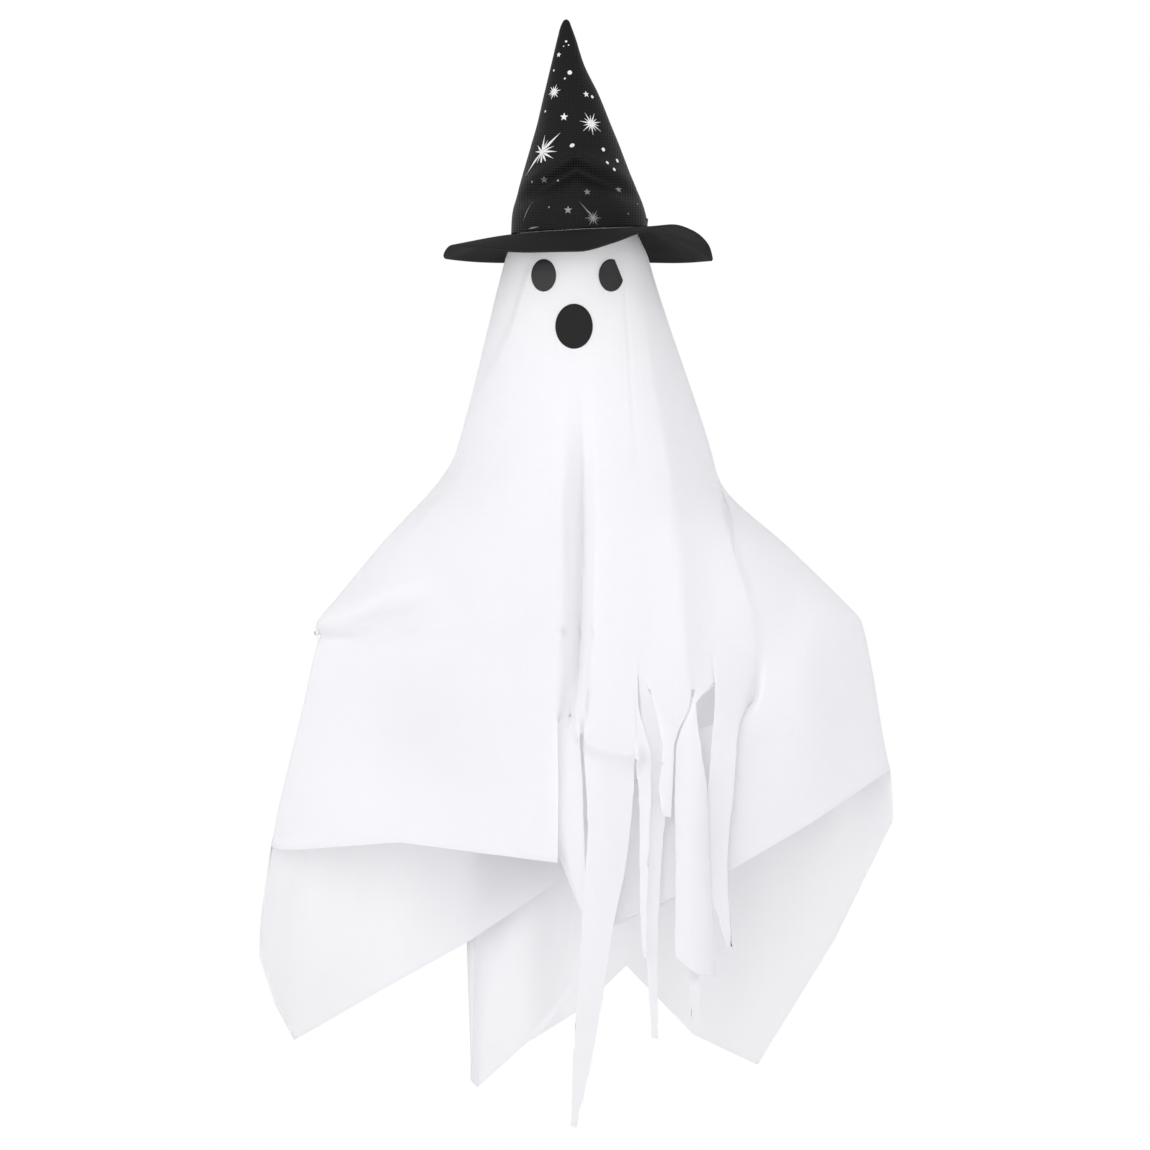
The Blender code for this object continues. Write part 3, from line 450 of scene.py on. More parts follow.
def guide_angles(guide, drops):
    """The angle round the drape of one guide line at these drops."""
    knots = [BROW_DROP]
    angles = [guide.head_angle]
    for drop, across, *held in guide.points + [guide.end]:
        middle, half, deep, roundness = section_at([drop])
        if across is None:
            angle = held[0]
        else:
            sine = max(-1.0, min(1.0, (across - middle[0]) / half[0]))
            angle = math.degrees(math.asin(sine))
            if guide.head_angle > BEHIND_FROM:
                angle = 180.0 - angle
        knots.append(drop)
        angles.append(angle)
    return smooth_through(knots, angles, drops)


def guide_push(guide, drops):
    push = [(ABOVE_BROW, 0.0)] + guide.push
    if len(push) == 2:
        push.append((FRONT_CORNER_DROP, push[1][1]))
    return curve(push, drops)


def drape_point(angles, drops, push):
    """Points of the middle of the cloth; the angle is 0 in front and 90 at the right."""
    middle, half, deep, roundness = section_at(drops)
    turn = np.radians(angles)
    forward = np.cos(turn)
    across = middle + half * np.sin(turn)
    depth = -deep * np.sign(forward) * np.abs(forward) ** (2 / roundness)
    dent = np.zeros_like(depth)
    for drop, x, wide, high, tilt, size in DIMPLES:
        along = (across - x) * math.cos(tilt) - (drops - drop) * math.sin(tilt)
        down = (across - x) * math.sin(tilt) + (drops - drop) * math.cos(tilt)
        dent += size * np.exp(-((along / wide) ** 2) - (down / high) ** 2)
    for name, line, sizes, left_reach, right_reach, power in FOLDS:
        away = across - curve(line, drops)
        reach = np.where(away < 0, left_reach, right_reach)
        dent += curve(sizes, drops) * np.clip(1 - np.sqrt(away ** 2 + 1) / reach, 0, 1) ** power
    away = drops - curve(ROLL, across)
    reach = np.where(away < 0, ROLL_ABOVE, ROLL_BELOW)
    on_roll = (across > ROLL[0][0]) & (across < ROLL[-1][0])
    dent -= ROLL_OUT * on_roll * np.clip(1 - np.abs(away) / reach, 0, 1) ** ROLL_FADE
    dent *= (forward > 0) * np.clip(EDGE_FADE * np.abs(forward), 0, 1)
    return across, depth + push + dent, drops


def around_again(values, columns, turn=0.0):
    """Values at every column of cloth from the values on the guides, right round."""
    wrap = 3
    total = KNOTS[-1]
    many_knots = np.concatenate([KNOTS[-1 - wrap:-1] - total, KNOTS, KNOTS[1:1 + wrap] + total])
    many = np.concatenate([values[-wrap:] - turn, values, values[:1 + wrap] + turn])
    return smooth_through(many_knots, many, columns)


def straight_hem(hem, columns):
    """Where each column ends, so that the hem runs straight from guide to guide."""
    angles = np.array([guide_angles(g, [g.end[0]])[0] for g in GUIDES])
    plain = np.interp(columns, KNOTS, np.append(hem, hem[0]))
    fine = around_again(angles, columns, 360)
    across = drape_point(fine, plain, 0.0)[0]
    ends = drape_point(angles, hem, 0.0)[0]
    drops = plain.copy()
    for i in range(len(GUIDES)):
        beside = (i + 1) % len(GUIDES)
        spread = ends[beside] - ends[i]
        inside = (columns > KNOTS[i]) & (columns < KNOTS[i + 1])
        if abs(spread) > HEM_SPREAD:
            share = np.clip((across[inside] - ends[i]) / spread, 0, 1)
            drops[inside] = hem[i] + (hem[beside] - hem[i]) * share
    return drops


def gathers(columns, drops):
    """How far the folds behind push the cloth back, at these columns and drops."""
    start, end = knot_of(GATHERS_FROM), knot_of(GATHERS_TO)
    along = np.clip((columns - start) / (end - start), 0, 1)
    fade = np.sin(np.pi * along)
    head_base = HEAD_DROP + HEAD_HALF_HEIGHT
    off_head = np.clip((drops - head_base) / HEAD_HALF_HEIGHT, 0, 1)
    wave = np.sin(2 * np.pi * GATHERS * along) * fade ** GATHERS_EVEN
    return curve(GATHER_DEPTH, drops) * (wave + fade * (1 - off_head * (1 + GATHERS_INWARD)))


def drape_grid():
    """Rows of columns of points, and the columns of each slit with the drop it opens at."""
    rows = np.concatenate([
        CROWN_DROPS[:-1], np.arange(CROWN_DROPS[-1], TORN_DROP - ROW_STEP / 2, ROW_STEP),
        np.arange(TORN_DROP, SKIRT_DROP - TORN_ROW_STEP / 2, TORN_ROW_STEP), [SKIRT_DROP],
    ])
    hem = np.array([g.end[0] for g in GUIDES], float)
    columns = np.arange(int(KNOTS[-1]) * COLUMN_SPLIT) / COLUMN_SPLIT
    hem_here = straight_hem(hem, columns)
    shares = np.arange(1, HEM_ROWS + 1) / HEM_ROWS
    levels = np.vstack([
        np.repeat(rows[:, None], len(hem), axis=1), SKIRT_DROP + np.outer(shares, hem - SKIRT_DROP)
    ])
    drops = np.vstack([
        np.repeat(rows[:, None], len(columns), axis=1),
        SKIRT_DROP + np.outer(shares, hem_here - SKIRT_DROP),
    ])
    angles = np.stack([guide_angles(g, levels[:, i]) for i, g in enumerate(GUIDES)], axis=1)
    push = np.stack([guide_push(g, levels[:, i]) for i, g in enumerate(GUIDES)], axis=1)
    grid = []
    for r in range(len(levels)):
        fine_angles = around_again(angles[r], columns, 360)
        fine_push = around_again(push[r], columns) + gathers(columns, drops[r])
        grid.append(np.stack(drape_point(fine_angles, drops[r], fine_push), axis=1))
    slits = {}
    for knot, guide in zip(KNOTS, GUIDES):
        if guide.slit is not None:
            for column in range(COLUMN_SPLIT):
                slits[int(knot) * COLUMN_SPLIT + column] = guide.slit
    return np.array(grid), slits


# soft creases of the whole cloth, which hang down it: their spacing across and down, a shift that
# makes the two kinds unlike, and their depth; and the drops between which they come in
CRUMPLES = [(70.0, 260.0, 0.0, 2.4), (24.0, 60.0, 9.0, 0.5)]
CRUMPLED_FROM, CRUMPLED_AT = 300.0, 500.0
# the guides between which the edge is torn, not hemmed, and how it wanders there: the step from
# column to column, the spacing down, a shift, and how far; and the drops between which it starts
TORN_FROM, TORN_TO = "leaf left", "pleat back"
WANDERS = [(3.7, 11.0, 0.0, 0.8), (5.1, 3.4, 7.0, 0.5)]
RAGGED_FROM, RAGGED_AT = TORN_DROP + 20, TORN_DROP + 60


def share_between(value, start, end):
    return max(0.0, min(1.0, (value - start) / (end - start)))


def crumple(across, depth, drop):
    """How far the cloth's soft creases stand back, in millimetres."""
    return share_between(drop, CRUMPLED_FROM, CRUMPLED_AT) * sum(
        deep * noise.noise(Vector((across / wide, depth / wide + other, drop / high)))
        for wide, high, other, deep in CRUMPLES
    )


def torn_columns():
    return range(int(knot_of(TORN_FROM)) * COLUMN_SPLIT, int(knot_of(TORN_TO)) * COLUMN_SPLIT)


def ragged(column, drop):
    """How far a torn edge wanders to the side, in millimetres."""
    return share_between(drop, RAGGED_FROM, RAGGED_AT) * sum(
        far * noise.noise(Vector((column * step, drop / high, other)))
        for step, high, other, far in WANDERS
    )


def hem_weights(grid):
    """1 in the hem along the cut edge of the sheet, 0 in the rest of it and in the torn strips."""
    above_edge = grid[-1:, :, 2] - grid[:, :, 2]
    weights = np.clip((HEM_WIDE + HEM_FADE - above_edge) / HEM_FADE, 0, 1)
    weights[:, list(torn_columns())] = 0
    return weights


def ring_faces(rings, sides, start=0):
    """Faces between closed rings of points that follow one another."""
    faces = []
    for k in range(rings - 1):
        for s in range(sides):
            a = start + k * sides + s
            b = start + k * sides + (s + 1) % sides
            faces.append((a, b, b + sides, a + sides))
    return faces


def cut_edges_sharp(mesh):
    """Keeps the face of a sheet flat right up to its cut edges."""
    body = bmesh.new()
    body.from_mesh(mesh)
    for edge in body.edges:
        edge.smooth = not edge.is_boundary
    body.to_mesh(mesh)
    body.free()


def add_mesh(name, points, faces, look):
    """A piece with smooth faces that rides on the ghost."""
    mesh = bpy.data.meshes.new(name)
    mesh.from_pydata([tuple(p) for p in points], [], faces)
    mesh.validate()
    mesh.polygons.foreach_set("use_smooth", [True] * len(mesh.polygons))
    mesh.materials.append(look)
    made = bpy.data.objects.new(name, mesh)
    bpy.context.scene.collection.objects.link(made)
    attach(made, "root")
    return made


def thicken(piece, thick):
    """Gives a sheet its thickness in millimetres, half of it to each side."""
    solid = piece.modifiers.new("thickness", "SOLIDIFY")
    solid.thickness = thick * MM
    solid.offset = 0.0
    return solid


def surface_of(piece):
    """The finished surface of a piece, on which others are placed."""
    bpy.context.view_layer.update()
    return BVHTree.FromObject(piece, bpy.context.evaluated_depsgraph_get())


def draped_cloth():
    grid, slits = drape_grid()
    rows, columns, _ = grid.shape
    points = []
    torn = torn_columns()
    for r in range(rows):
        for c in range(columns):
            across, depth, drop = grid[r, c]
            if c in torn:
                across += ragged(c, drop)
            points.append(place(across, depth + crumple(across, depth, drop), drop))
    crown = len(points)
    points.append(place(0, 0, HEAD_DROP - HEAD_HALF_HEIGHT - CLOTH_EASE))
    faces = [(crown, (c + 1) % columns, c) for c in range(columns)]
    for face in ring_faces(rows, columns):
        r, c = divmod(face[0], columns)
        if c not in slits or grid[r, c, 2] < slits[c] - 1:
            faces.append(face)
    made = add_mesh("ghost_cloth", points, faces, cloth_finish())
    cut_edges_sharp(made.data)
    hem = made.vertex_groups.new(name="hem")
    for index, weight in enumerate(hem_weights(grid).flat):
        if weight > 0:
            hem.add([index], float(weight), "REPLACE")
    solid = thicken(made, HEM_THICK)
    solid.vertex_group = hem.name
    solid.thickness_vertex_group = CLOTH_THICK / HEM_THICK
    return made


def cloth_finish():
    white = Finish("thin white cloth")
    weave = white.bands("X", CLOTH_THREADS) + white.bands("Z", CLOTH_THREADS)
    slub = white.grain(160.0, 2.0, (1, 1, 0.15))
    wear = white.grain(6.0, 4.0)
    shade = white.blend(wear * 0.6 + slub * 0.4, CLOTH_THIN, CLOTH_WHITE)
    normal = white.bump(weave * 0.5 + slub, 0.00012)
    front = white.solid(shade, 0.78 + slub * 0.12, normal, Specular_IOR_Level=0.15)
    through = white.node("BsdfTranslucent", {}, {"Color": CLOTH_WHITE, "Normal": normal})
    return white.done(white.node("MixShader", {}, {0: SEEN_THROUGH, 1: front, 2: through}))


cloth = draped_cloth()
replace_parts(cloth, "draped_cloth")
CLOTH_SURFACE = surface_of(cloth)


# The wrist tie: white sewing thread, wound round the gathered point of the cloth at the left
# wrist and knotted outside it, with two cut tails.

KNOT_BITE = 1.4          # from the cloth to the middle of the knot, which reaches further
KNOT_TURNS = 3
KNOT_HALF = (2.0, 1.6, 1.2)
KNOT_WANDER = 0.3
THREAD_RADIUS = 0.55
TAIL_RADIUS = 0.3
TAILS = ((0.4, 5.5), (-0.5, 7.5))      # how far each leans out, and its length
TAIL_CURL = 1.4
TAIL_FORWARD, TAIL_DOWN = 0.8, 1.0     # where the tails leave the knot
TUBE_SIDES = 8
THREAD_WHITE = (0.88, 0.88, 0.88)
THREAD_SHADE = (0.78, 0.78, 0.79)


def thread_finish():
    thread = Finish("white sewing thread")
    twist = thread.bands("DIAGONAL", 900.0)
    shade = thread.blend(twist, THREAD_SHADE, THREAD_WHITE)
    return thread.done(thread.solid(shade, 0.7 + twist * 0.2, thread.bump(twist, 0.0001)))


low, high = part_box("wrist_knot")
knot_start = (low + high) / 2
on_cloth = CLOTH_SURFACE.find_nearest(knot_start)[0]
KNOT_MIDDLE = on_cloth + (knot_start - on_cloth).normalized() * KNOT_BITE * MM


def wrist_tie():
    """A knot of a few turns, and its two tails."""
    points, faces = [], []

    def tube(path, radius):
        """A round thread along a path of offsets from the knot's middle, in millimetres."""
        start = len(points)
        path = [KNOT_MIDDLE + Vector(offset) * MM for offset in path]
        for i, at in enumerate(path):
            ahead = (path[min(i + 1, len(path) - 1)] - path[max(i - 1, 0)]).normalized()
            side = ahead.orthogonal().normalized()
            up = ahead.cross(side)
            for s in range(TUBE_SIDES):
                turn = 2 * math.pi * s / TUBE_SIDES
                points.append(at + (side * math.cos(turn) + up * math.sin(turn)) * radius * MM)
        faces.extend(ring_faces(len(path), TUBE_SIDES, start))
        faces.append(tuple(start + s for s in range(TUBE_SIDES))[::-1])
        faces.append(tuple(len(points) - TUBE_SIDES + s for s in range(TUBE_SIDES)))

    wide, deep, high = KNOT_HALF
    shares = np.linspace(0, 1, 12 * KNOT_TURNS + 1)
    turns = 2 * math.pi * KNOT_TURNS * shares
    rise = (2 * shares - 1) * high + KNOT_WANDER * np.sin(2 * turns)
    tube(zip(np.cos(turns) * wide, np.sin(turns) * deep, rise), THREAD_RADIUS)
    for lean, length in TAILS:
        tube([
            (
                (lean * s + TAIL_CURL * s * s) * length / 3, -TAIL_FORWARD - lean,
                -TAIL_DOWN - s * length,
            )
            for s in (0, 0.25, 0.5, 0.75, 1.0)
        ], TAIL_RADIUS)
    return add_mesh("wrist_tie", points, faces, thread_finish())


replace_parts(wrist_tie(), "wrist_knot")


# The face: two eyes and a mouth punched from black felt and stuck on the cloth. The eyes have
# a glazed face with a faint shine; the mouth is plain felt. A fold hides a corner of one eye.

FELT_THICK = 0.8
FELT_LIFT = 0.15
FELT_ROUND = 0.1         # share of the patch over which its edge is rounded
EYE_ACROSS = (-27.5, 28.0)
EYE_DROP = 213.0
EYE_HALF = (10.2, 13.4)
EYE_FOLD = ((30.5, EYE_DROP - 14), (37.0, EYE_DROP + 2))
MOUTH_ACROSS, MOUTH_DROP = -2.5, 255.0
MOUTH_HALF = (15.4, 18.5)
FELT_RINGS = 14
FELT_SIDES = 96
EYE_BLACK = (0.010, 0.010, 0.011)
MOUTH_BLACK = (0.016, 0.016, 0.016)
LINT_GREY = (0.10, 0.10, 0.105)
OUTSIDE = 3 * HEAD_RADIUS       # clear of the cloth and the hat; marks are placed from there


def felt_finish(name, black, roughness, coat):
    felt = Finish(name)
    fibre = felt.grain(900.0, 4.0, (1, 1, 0.5))
    lint = felt.grain(2600.0, 2.0).over(0.62, 0.1)
    shade = felt.blend(fibre, tuple(0.6 * v for v in black), black)
    shade = felt.blend(lint * 0.25, shade, LINT_GREY)
    normal = felt.bump(fibre + lint * 0.4, 0.00035 if coat == 0 else 0.00012)
    return felt.done(felt.solid(
        shade, roughness + fibre * 0.12, normal, Coat_Weight=coat, Coat_Roughness=0.28,
        Specular_IOR_Level=0.25,
    ))


def felt_oval(name, node, across, drop, half, look, cut_corner=None):
    """A felt oval that follows the cloth under it, with a softly rounded edge."""
    front, back = [], []
    for k in range(FELT_RINGS + 1):
        reach = math.sin(math.pi / 2 * k / FELT_RINGS)
        for s in range(FELT_SIDES if k else 1):
            turn = 2 * math.pi * s / FELT_SIDES
            x = across + half[0] * reach * math.cos(turn)
            d = drop - half[1] * reach * math.sin(turn)
            if cut_corner:
                (x0, d0), (x1, d1) = cut_corner
                outside = (x - x0) * (d1 - d0) - (d - d0) * (x1 - x0)
                if outside > 0:
                    length = (d1 - d0) ** 2 + (x1 - x0) ** 2
                    x -= outside * (d1 - d0) / length
                    d += outside * (x1 - x0) / length
            hit = CLOTH_SURFACE.ray_cast(place(x, -OUTSIDE, d), Vector((0, 1, 0)))[0]
            edge = math.sqrt(max(0.0, 1 - max(0.0, (reach - 1 + FELT_ROUND) / FELT_ROUND) ** 2))
            stands = FELT_LIFT + FELT_THICK * (0.35 + 0.65 * edge)
            back.append(hit - Vector((0, FELT_LIFT * MM, 0)))
            front.append(hit - Vector((0, stands * MM, 0)))
    count = len(front)
    faces = [(0, 1 + s, 1 + (s + 1) % FELT_SIDES) for s in range(FELT_SIDES)]
    faces += [(a, d, c, b) for a, b, c, d in ring_faces(FELT_RINGS, FELT_SIDES, 1)]
    faces += [tuple(i + count for i in f[::-1]) for f in faces]
    rim = count - FELT_SIDES
    for s in range(FELT_SIDES):
        beside = (s + 1) % FELT_SIDES
        faces.append((rim + s, count + rim + s, count + rim + beside, rim + beside))
    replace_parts(add_mesh(name, front + back, faces, look), node)


eye_look = felt_finish("glazed eye felt", EYE_BLACK, 0.5, 0.12)
felt_oval("left_eye_felt", "eye_left", EYE_ACROSS[0], EYE_DROP, EYE_HALF, eye_look)
felt_oval(
    "right_eye_felt", "eye_right", EYE_ACROSS[1], EYE_DROP, EYE_HALF, eye_look, EYE_FOLD
)
mouth_look = felt_finish("plain mouth felt", MOUTH_BLACK, 0.85, 0.0)
felt_oval("mouth_felt", "mouth", MOUTH_ACROSS, MOUTH_DROP, MOUTH_HALF, mouth_look)


# The cone of the hat: thin black cloth with an open grid weave, rolled and sewn up one side,
# with a tab of the seam left over at its foot. It sags in a crease over the top of the head.

HAT_BASE_DROP = 175.0
HAT_TILT = 0.05
HAT_CLOTH_THICK = 0.7
HAT_EASE = 6.0
BASE_ANGLE = math.acos((HEAD_DROP - HAT_BASE_DROP) / (HEAD_HALF_HEIGHT + CLOTH_EASE))
CONE_RADIUS = CLOTH_RADIUS * math.sin(BASE_ANGLE) + HAT_EASE
CONE_SIDES = 120
CONE_STEPS = 110
TIP_DROP = 0.4
SAG_DEPTH = 5.0
SAG_SHARE, SAG_ARCH = 0.68, 0.14       # how far down the sag is in front, and lower at the sides
SAG_HALF = 0.042
SAG_TUCK = 1.3           # the hollow under the sag, as a share of its swell
PUCKER_DEPTH = 1.1
PUCKERS_ROUND, PUCKERS_DOWN = 2.2, 7.0
HAT_THREADS = 150.0
HAT_BLACK = (0.004, 0.004, 0.0045)
HAT_THREAD_BLACK = (0.018, 0.018, 0.019)
TAB_ACROSS, TAB_DROP = 57.2, 168.0
TAB_HALF = (1.3, 4.5, 3.4)
TAB_LEAN = 0.4
TAB_SQUARE = 0.4         # 1 is oval from the side; smaller is squarer
TAB_END = 0.05
TAB_RINGS, TAB_SIDES = 11, 16
# share of the way down, middle across, half width as a share of the base
CONE_RINGS = [
    (0.0, -9.0, 0.016), (0.012, -9.0, 0.042), (0.035, -9.2, 0.074), (0.080, -8.8, 0.120),
    (0.21, -7.9, 0.236), (0.36, -4.8, 0.405), (0.51, -2.7, 0.560), (0.62, -1.6, 0.679),
    (0.70, -1.1, 0.764), (0.77, -0.6, 0.836), (0.82, 0.0, 0.890), (0.90, 0.8, 0.972),
    (0.95, 1.5, 1.000), (1.00, 2.0, 1.015),
]


def base_drop(across):
    return HAT_BASE_DROP - HAT_TILT * across


def hat_cone():
    shares = np.linspace(0, 1, CONE_STEPS + 1)
    at, *shape = zip(*CONE_RINGS)
    middles, widths = [smooth_through(at, values, shares) for values in shape]
    points = [place(-CENTRE_ACROSS, 0, TIP_DROP)]
    for share, middle, wide in zip(shares[1:], middles[1:], widths[1:]):
        for s in range(CONE_SIDES):
            turn = 2 * math.pi * s / CONE_SIDES
            radius = CONE_RADIUS * wide
            ahead = math.cos(turn)
            crease = SAG_SHARE + SAG_ARCH * abs(math.sin(turn))
            over = (share - crease) / SAG_HALF
            sag = SAG_DEPTH * max(0.0, ahead) * (
                math.exp(-((over + 1) ** 2)) - SAG_TUCK * math.exp(-((over - 1) ** 2))
            )
            around_it = Vector((math.sin(turn), math.cos(turn), 0)) * PUCKERS_ROUND
            pucker = around_it + Vector((0, 0, share * PUCKERS_DOWN))
            sag += PUCKER_DEPTH * share * noise.noise(pucker)
            radius += sag * 0.5
            across = middle + radius * math.sin(turn)
            depth = -(radius + sag * 0.5) * ahead
            points.append(place(across, depth, base_drop(across) * share))
    faces = [(0, 1 + (s + 1) % CONE_SIDES, 1 + s) for s in range(CONE_SIDES)]
    faces += ring_faces(CONE_STEPS, CONE_SIDES, 1)
    return add_mesh("hat_cone_cloth", points, faces, hat_cloth_finish())


def hat_cloth_finish():
    black = Finish("black grid cloth")
    grid = black.bands("X", HAT_THREADS) * black.bands("Z", HAT_THREADS)
    shade = black.blend(grid, HAT_BLACK, HAT_THREAD_BLACK)
    normal = black.bump(grid, 0.0006)
    return black.done(black.solid(shade, 0.5 + grid * 0.2, normal, Specular_IOR_Level=0.12))


def seam_tab():
    """The end of the side seam, folded over; it stands out at the right of the cone's foot."""
    thick, deep, high = TAB_HALF
    points = []
    for k in range(TAB_RINGS):
        up = math.pi * k / (TAB_RINGS - 1)
        swell = math.sin(up) ** TAB_SQUARE if 0 < k < TAB_RINGS - 1 else TAB_END
        for s in range(TAB_SIDES):
            turn = 2 * math.pi * s / TAB_SIDES
            points.append(place(
                TAB_ACROSS + thick * swell * math.cos(turn) + TAB_LEAN * math.cos(up),
                deep * swell * math.sin(turn),
                TAB_DROP - high * math.cos(up),
            ))
    faces = ring_faces(TAB_RINGS, TAB_SIDES)
    faces.append(tuple(range(TAB_SIDES))[::-1])
    faces.append(tuple(len(points) - TAB_SIDES + s for s in range(TAB_SIDES)))
    return add_mesh("hat_seam_tab", points, faces, hat_cloth_finish())


seam_tab()
cone = hat_cone()
thicken(cone, HAT_CLOTH_THICK)
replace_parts(cone, "hat_cone")
CONE_SURFACE = surface_of(cone)


# The stars of the hat: silver foil pressed onto its cloth, as dots, five-pointed stars, bursts
# of thin rays and one big sparkle. The foil is bright high up and behind; on the stars in front
# where the cloth sags it is painted darker, as painted shade.

FOIL_THICK = 0.16
FOIL_LIFT = 0.1
RAY_PIECE = 2.0
RAY_WIDEST = 0.35        # share of a ray's length at which it is widest
RAY_TIP = 0.1            # share of its widest that it keeps at its two ends
STAR_INNER = 0.42
BRIGHT_SILVER = (0.93, 0.93, 0.94)
# a darker copy of the silver for the stars in the sag in front: painted shade
SILVER_PAINTED_SHADE = (0.22, 0.22, 0.23)


def foil_finish(name, silver, roughness):
    foil = Finish(name)
    pressed = foil.grain(1500.0, 3.0)
    shade = foil.blend(pressed, tuple(0.8 * v for v in silver), silver)
    return foil.done(foil.solid(
        shade, roughness + pressed * 0.2, foil.bump(pressed, 0.00008), Metallic=0.85
    ))


def around(reaches, first=0.0):
    """One outline round a middle, through points this far out, the first at this angle."""
    turns = [first + 2 * math.pi * i / len(reaches) for i in range(len(reaches))]
    return [[(r * math.cos(t), r * math.sin(t)) for r, t in zip(reaches, turns)]]


def dot(size):
    return around([size] * 16)


def star(size):
    return around([size, STAR_INNER * size] * 5, math.pi / 2)


def rays(lengths, thick, lean=0.0):
    """Thin tapered rays from one middle, in short pieces that follow the round of the cone."""
    made = []
    for i, length in enumerate(lengths):
        turn = lean + 2 * math.pi * i / len(lengths)
        shares = np.linspace(0, 1, 2 + round(length / RAY_PIECE))
        swell = np.minimum(shares / RAY_WIDEST, (1 - shares) / (1 - RAY_WIDEST))
        halves = thick * np.maximum(swell, RAY_TIP)
        edges = [
            [
                (length * t * math.cos(turn) - h * math.sin(turn),
                 length * t * math.sin(turn) + h * math.cos(turn))
                for t, h in zip(shares, half_widths)
            ]
            for half_widths in (halves, -halves)
        ]
        for k in range(len(shares) - 1):
            made.append([edges[0][k + 1], edges[0][k], edges[1][k], edges[1][k + 1]])
    return made


def ray(length, angle, thick):
    """One long ray from a middle, at this many degrees above level."""
    return rays([length], thick, math.radians(angle))


def press_foil(name, marks, look):
    """Puts marks on the cone, as (across, drop, outlines): those of 1 in front, of -1 behind."""
    points, faces = [], []
    for side, across, drop, outlines in [(s, *mark) for s in marks for mark in marks[s]]:
        start = place(across, -side * OUTSIDE, drop)
        hit, normal, _, _ = CONE_SURFACE.ray_cast(start, Vector((0, side, 0)))
        if hit is None:
            continue
        right = Vector((0, 0, 1)).cross(normal).normalized()
        up = normal.cross(right)
        for outline in outlines:
            first = len(points)
            for lift in (FOIL_LIFT + FOIL_THICK, FOIL_LIFT):
                for x, y in outline:
                    at, out, _, _ = CONE_SURFACE.find_nearest(hit + (right * x + up * y) * MM)
                    points.append(at + out * lift * MM)
            count = len(outline)
            faces.append(tuple(first + i for i in range(count)))
            faces.append(tuple(first + count + i for i in range(count))[::-1])
            for i in range(count):
                beside = (i + 1) % count
                faces.append((first + i, first + count + i, first + count + beside, first + beside))
    made = add_mesh(name, points, faces, look)
    made.data.polygons.foreach_set("use_smooth", [False] * len(made.data.polygons))


SPARKLE = (
    ray(23, 50, 1.3) + ray(25, 231, 1.2) + ray(15, 93, 1.0) + ray(10, 140, 0.9)
    + ray(9, 175, 0.8) + ray(16, 5, 1.0) + ray(16, -20, 1.0) + ray(15, -48, 1.0)
    + ray(18, -75, 1.0) + ray(10, -105, 0.8) + ray(13, 26, 0.9) + ray(11, 70, 0.8) + dot(2.2)
)
BURST = rays([10.5, 7.5] * 7, 0.65, 0.2) + dot(2.8)
SMALL_BURST = rays([6.8, 5.0] * 6, 0.7, 0.3) + dot(2.4)
BRIGHT_MARKS = [
    (-9, 19, dot(0.9)), (-7, 22, dot(0.6)), (-11, 23, dot(0.5)),
    (-15, 30, star(2.4)), (-19, 43, dot(0.9)), (-6, 45, dot(1.9)),
    (-10, 50, dot(0.8)), (-19, 61, SMALL_BURST), (7.4, 63, star(3.0)),
    (12.4, 65, dot(1.4)), (-26, 77, dot(1.0)), (-10.7, 82, star(3.6)),
    (11.6, 87.5, BURST), (-29, 111, SPARKLE), (-4, 106, dot(2.1)),
    (21.5, 109, dot(1.7)), (24.8, 120, dot(1.5)), (33, 118, dot(1.7)),
    (30.5, 125.5, dot(1.5)),
]
# the stars in front where the cloth sags, which take the darker foil as painted shade
MARKS_IN_PAINTED_SHADE = [
    (-37, 135.5, dot(1.0)), (-15.7, 134.6, dot(0.9)), (-27, 134, star(3.4)),
    (8.3, 144.5, star(3.2)), (34, 142, star(3.4)), (48.7, 142, dot(1.0)),
    (49.6, 153.6, dot(0.9)), (13.2, 166, rays([7, 5] * 6, 0.45)),
    (13.2, 166, ray(19, 128, 0.5)), (-7.4, 159.4, star(3.6)), (-23, 157, dot(0.8)),
    (42, 162, dot(0.8)), (-44, 168, ray(20, 70, 0.6)), (-40, 174.5, ray(12, 8, 0.8)),
]
BACK_MARKS = [
    (-10, 34, star(2.4)), (-3, 48, dot(1.4)), (-15, 58, dot(1.0)),
    (2, 66, SMALL_BURST), (-16, 79, star(3.2)), (4, 90, dot(1.6)),
    (-12, 102, BURST), (14, 106, star(3.4)), (26, 120, dot(1.7)),
    (-28, 124, dot(1.4)), (2, 128, SPARKLE), (-36, 142, star(3.4)),
    (30, 146, SMALL_BURST), (-14, 152, dot(1.5)), (14, 160, star(3.2)),
    (43, 162, dot(1.4)), (-44, 163, dot(1.2)),
]
bright_look = foil_finish("bright foil", BRIGHT_SILVER, 0.22)
press_foil("foil_stars", {1: BRIGHT_MARKS, -1: BACK_MARKS}, bright_look)
# the stars in the sag get the darker copy of the foil, painted shade
press_foil("foil_stars_painted_shade", {1: MARKS_IN_PAINTED_SHADE}, foil_finish("foil with painted shade", SILVER_PAINTED_SHADE, 0.35))


# The brim of the hat: a ring of thick black felt, sewn to the foot of the cone, with its underside
# painted darker as shade. It droops at both sides and lifts at the front right, where its
# underside shows.

BRIM_RADIUS = 111.0
BRIM_THICK = 1.6
BRIM_ACROSS = 0.8
BRIM_UNDERLAP = 2.2
BRIM_GAP = 0.5
BRIM_BEND = 1.4          # 1 is a straight fall to the edge
RIPPLE_DEPTH = 0.9
RIPPLES_ROUND = 1.7
BRIM_SIDES = 180
BRIM_BLACK = (0.026, 0.026, 0.027)
# a darker black for the brim's underside: painted shade
UNDERSIDE_PAINTED_SHADE = (0.007, 0.007, 0.007)
BRIM_STEPS = 26
# the fall of the brim's edge below the cone's base, by the angle round it (0 is the front)
BRIM_EDGE = [
    (-180, 21), (-135, 22), (-105, 21), (-90, 20), (-68, 12), (-45, 15), (-20, 18.5), (0, 18),
    (15, 11), (30, 1.5), (45, -3.5), (58, 0.5), (75, 11), (90, 23), (120, 23), (150, 22), (180, 21),
]


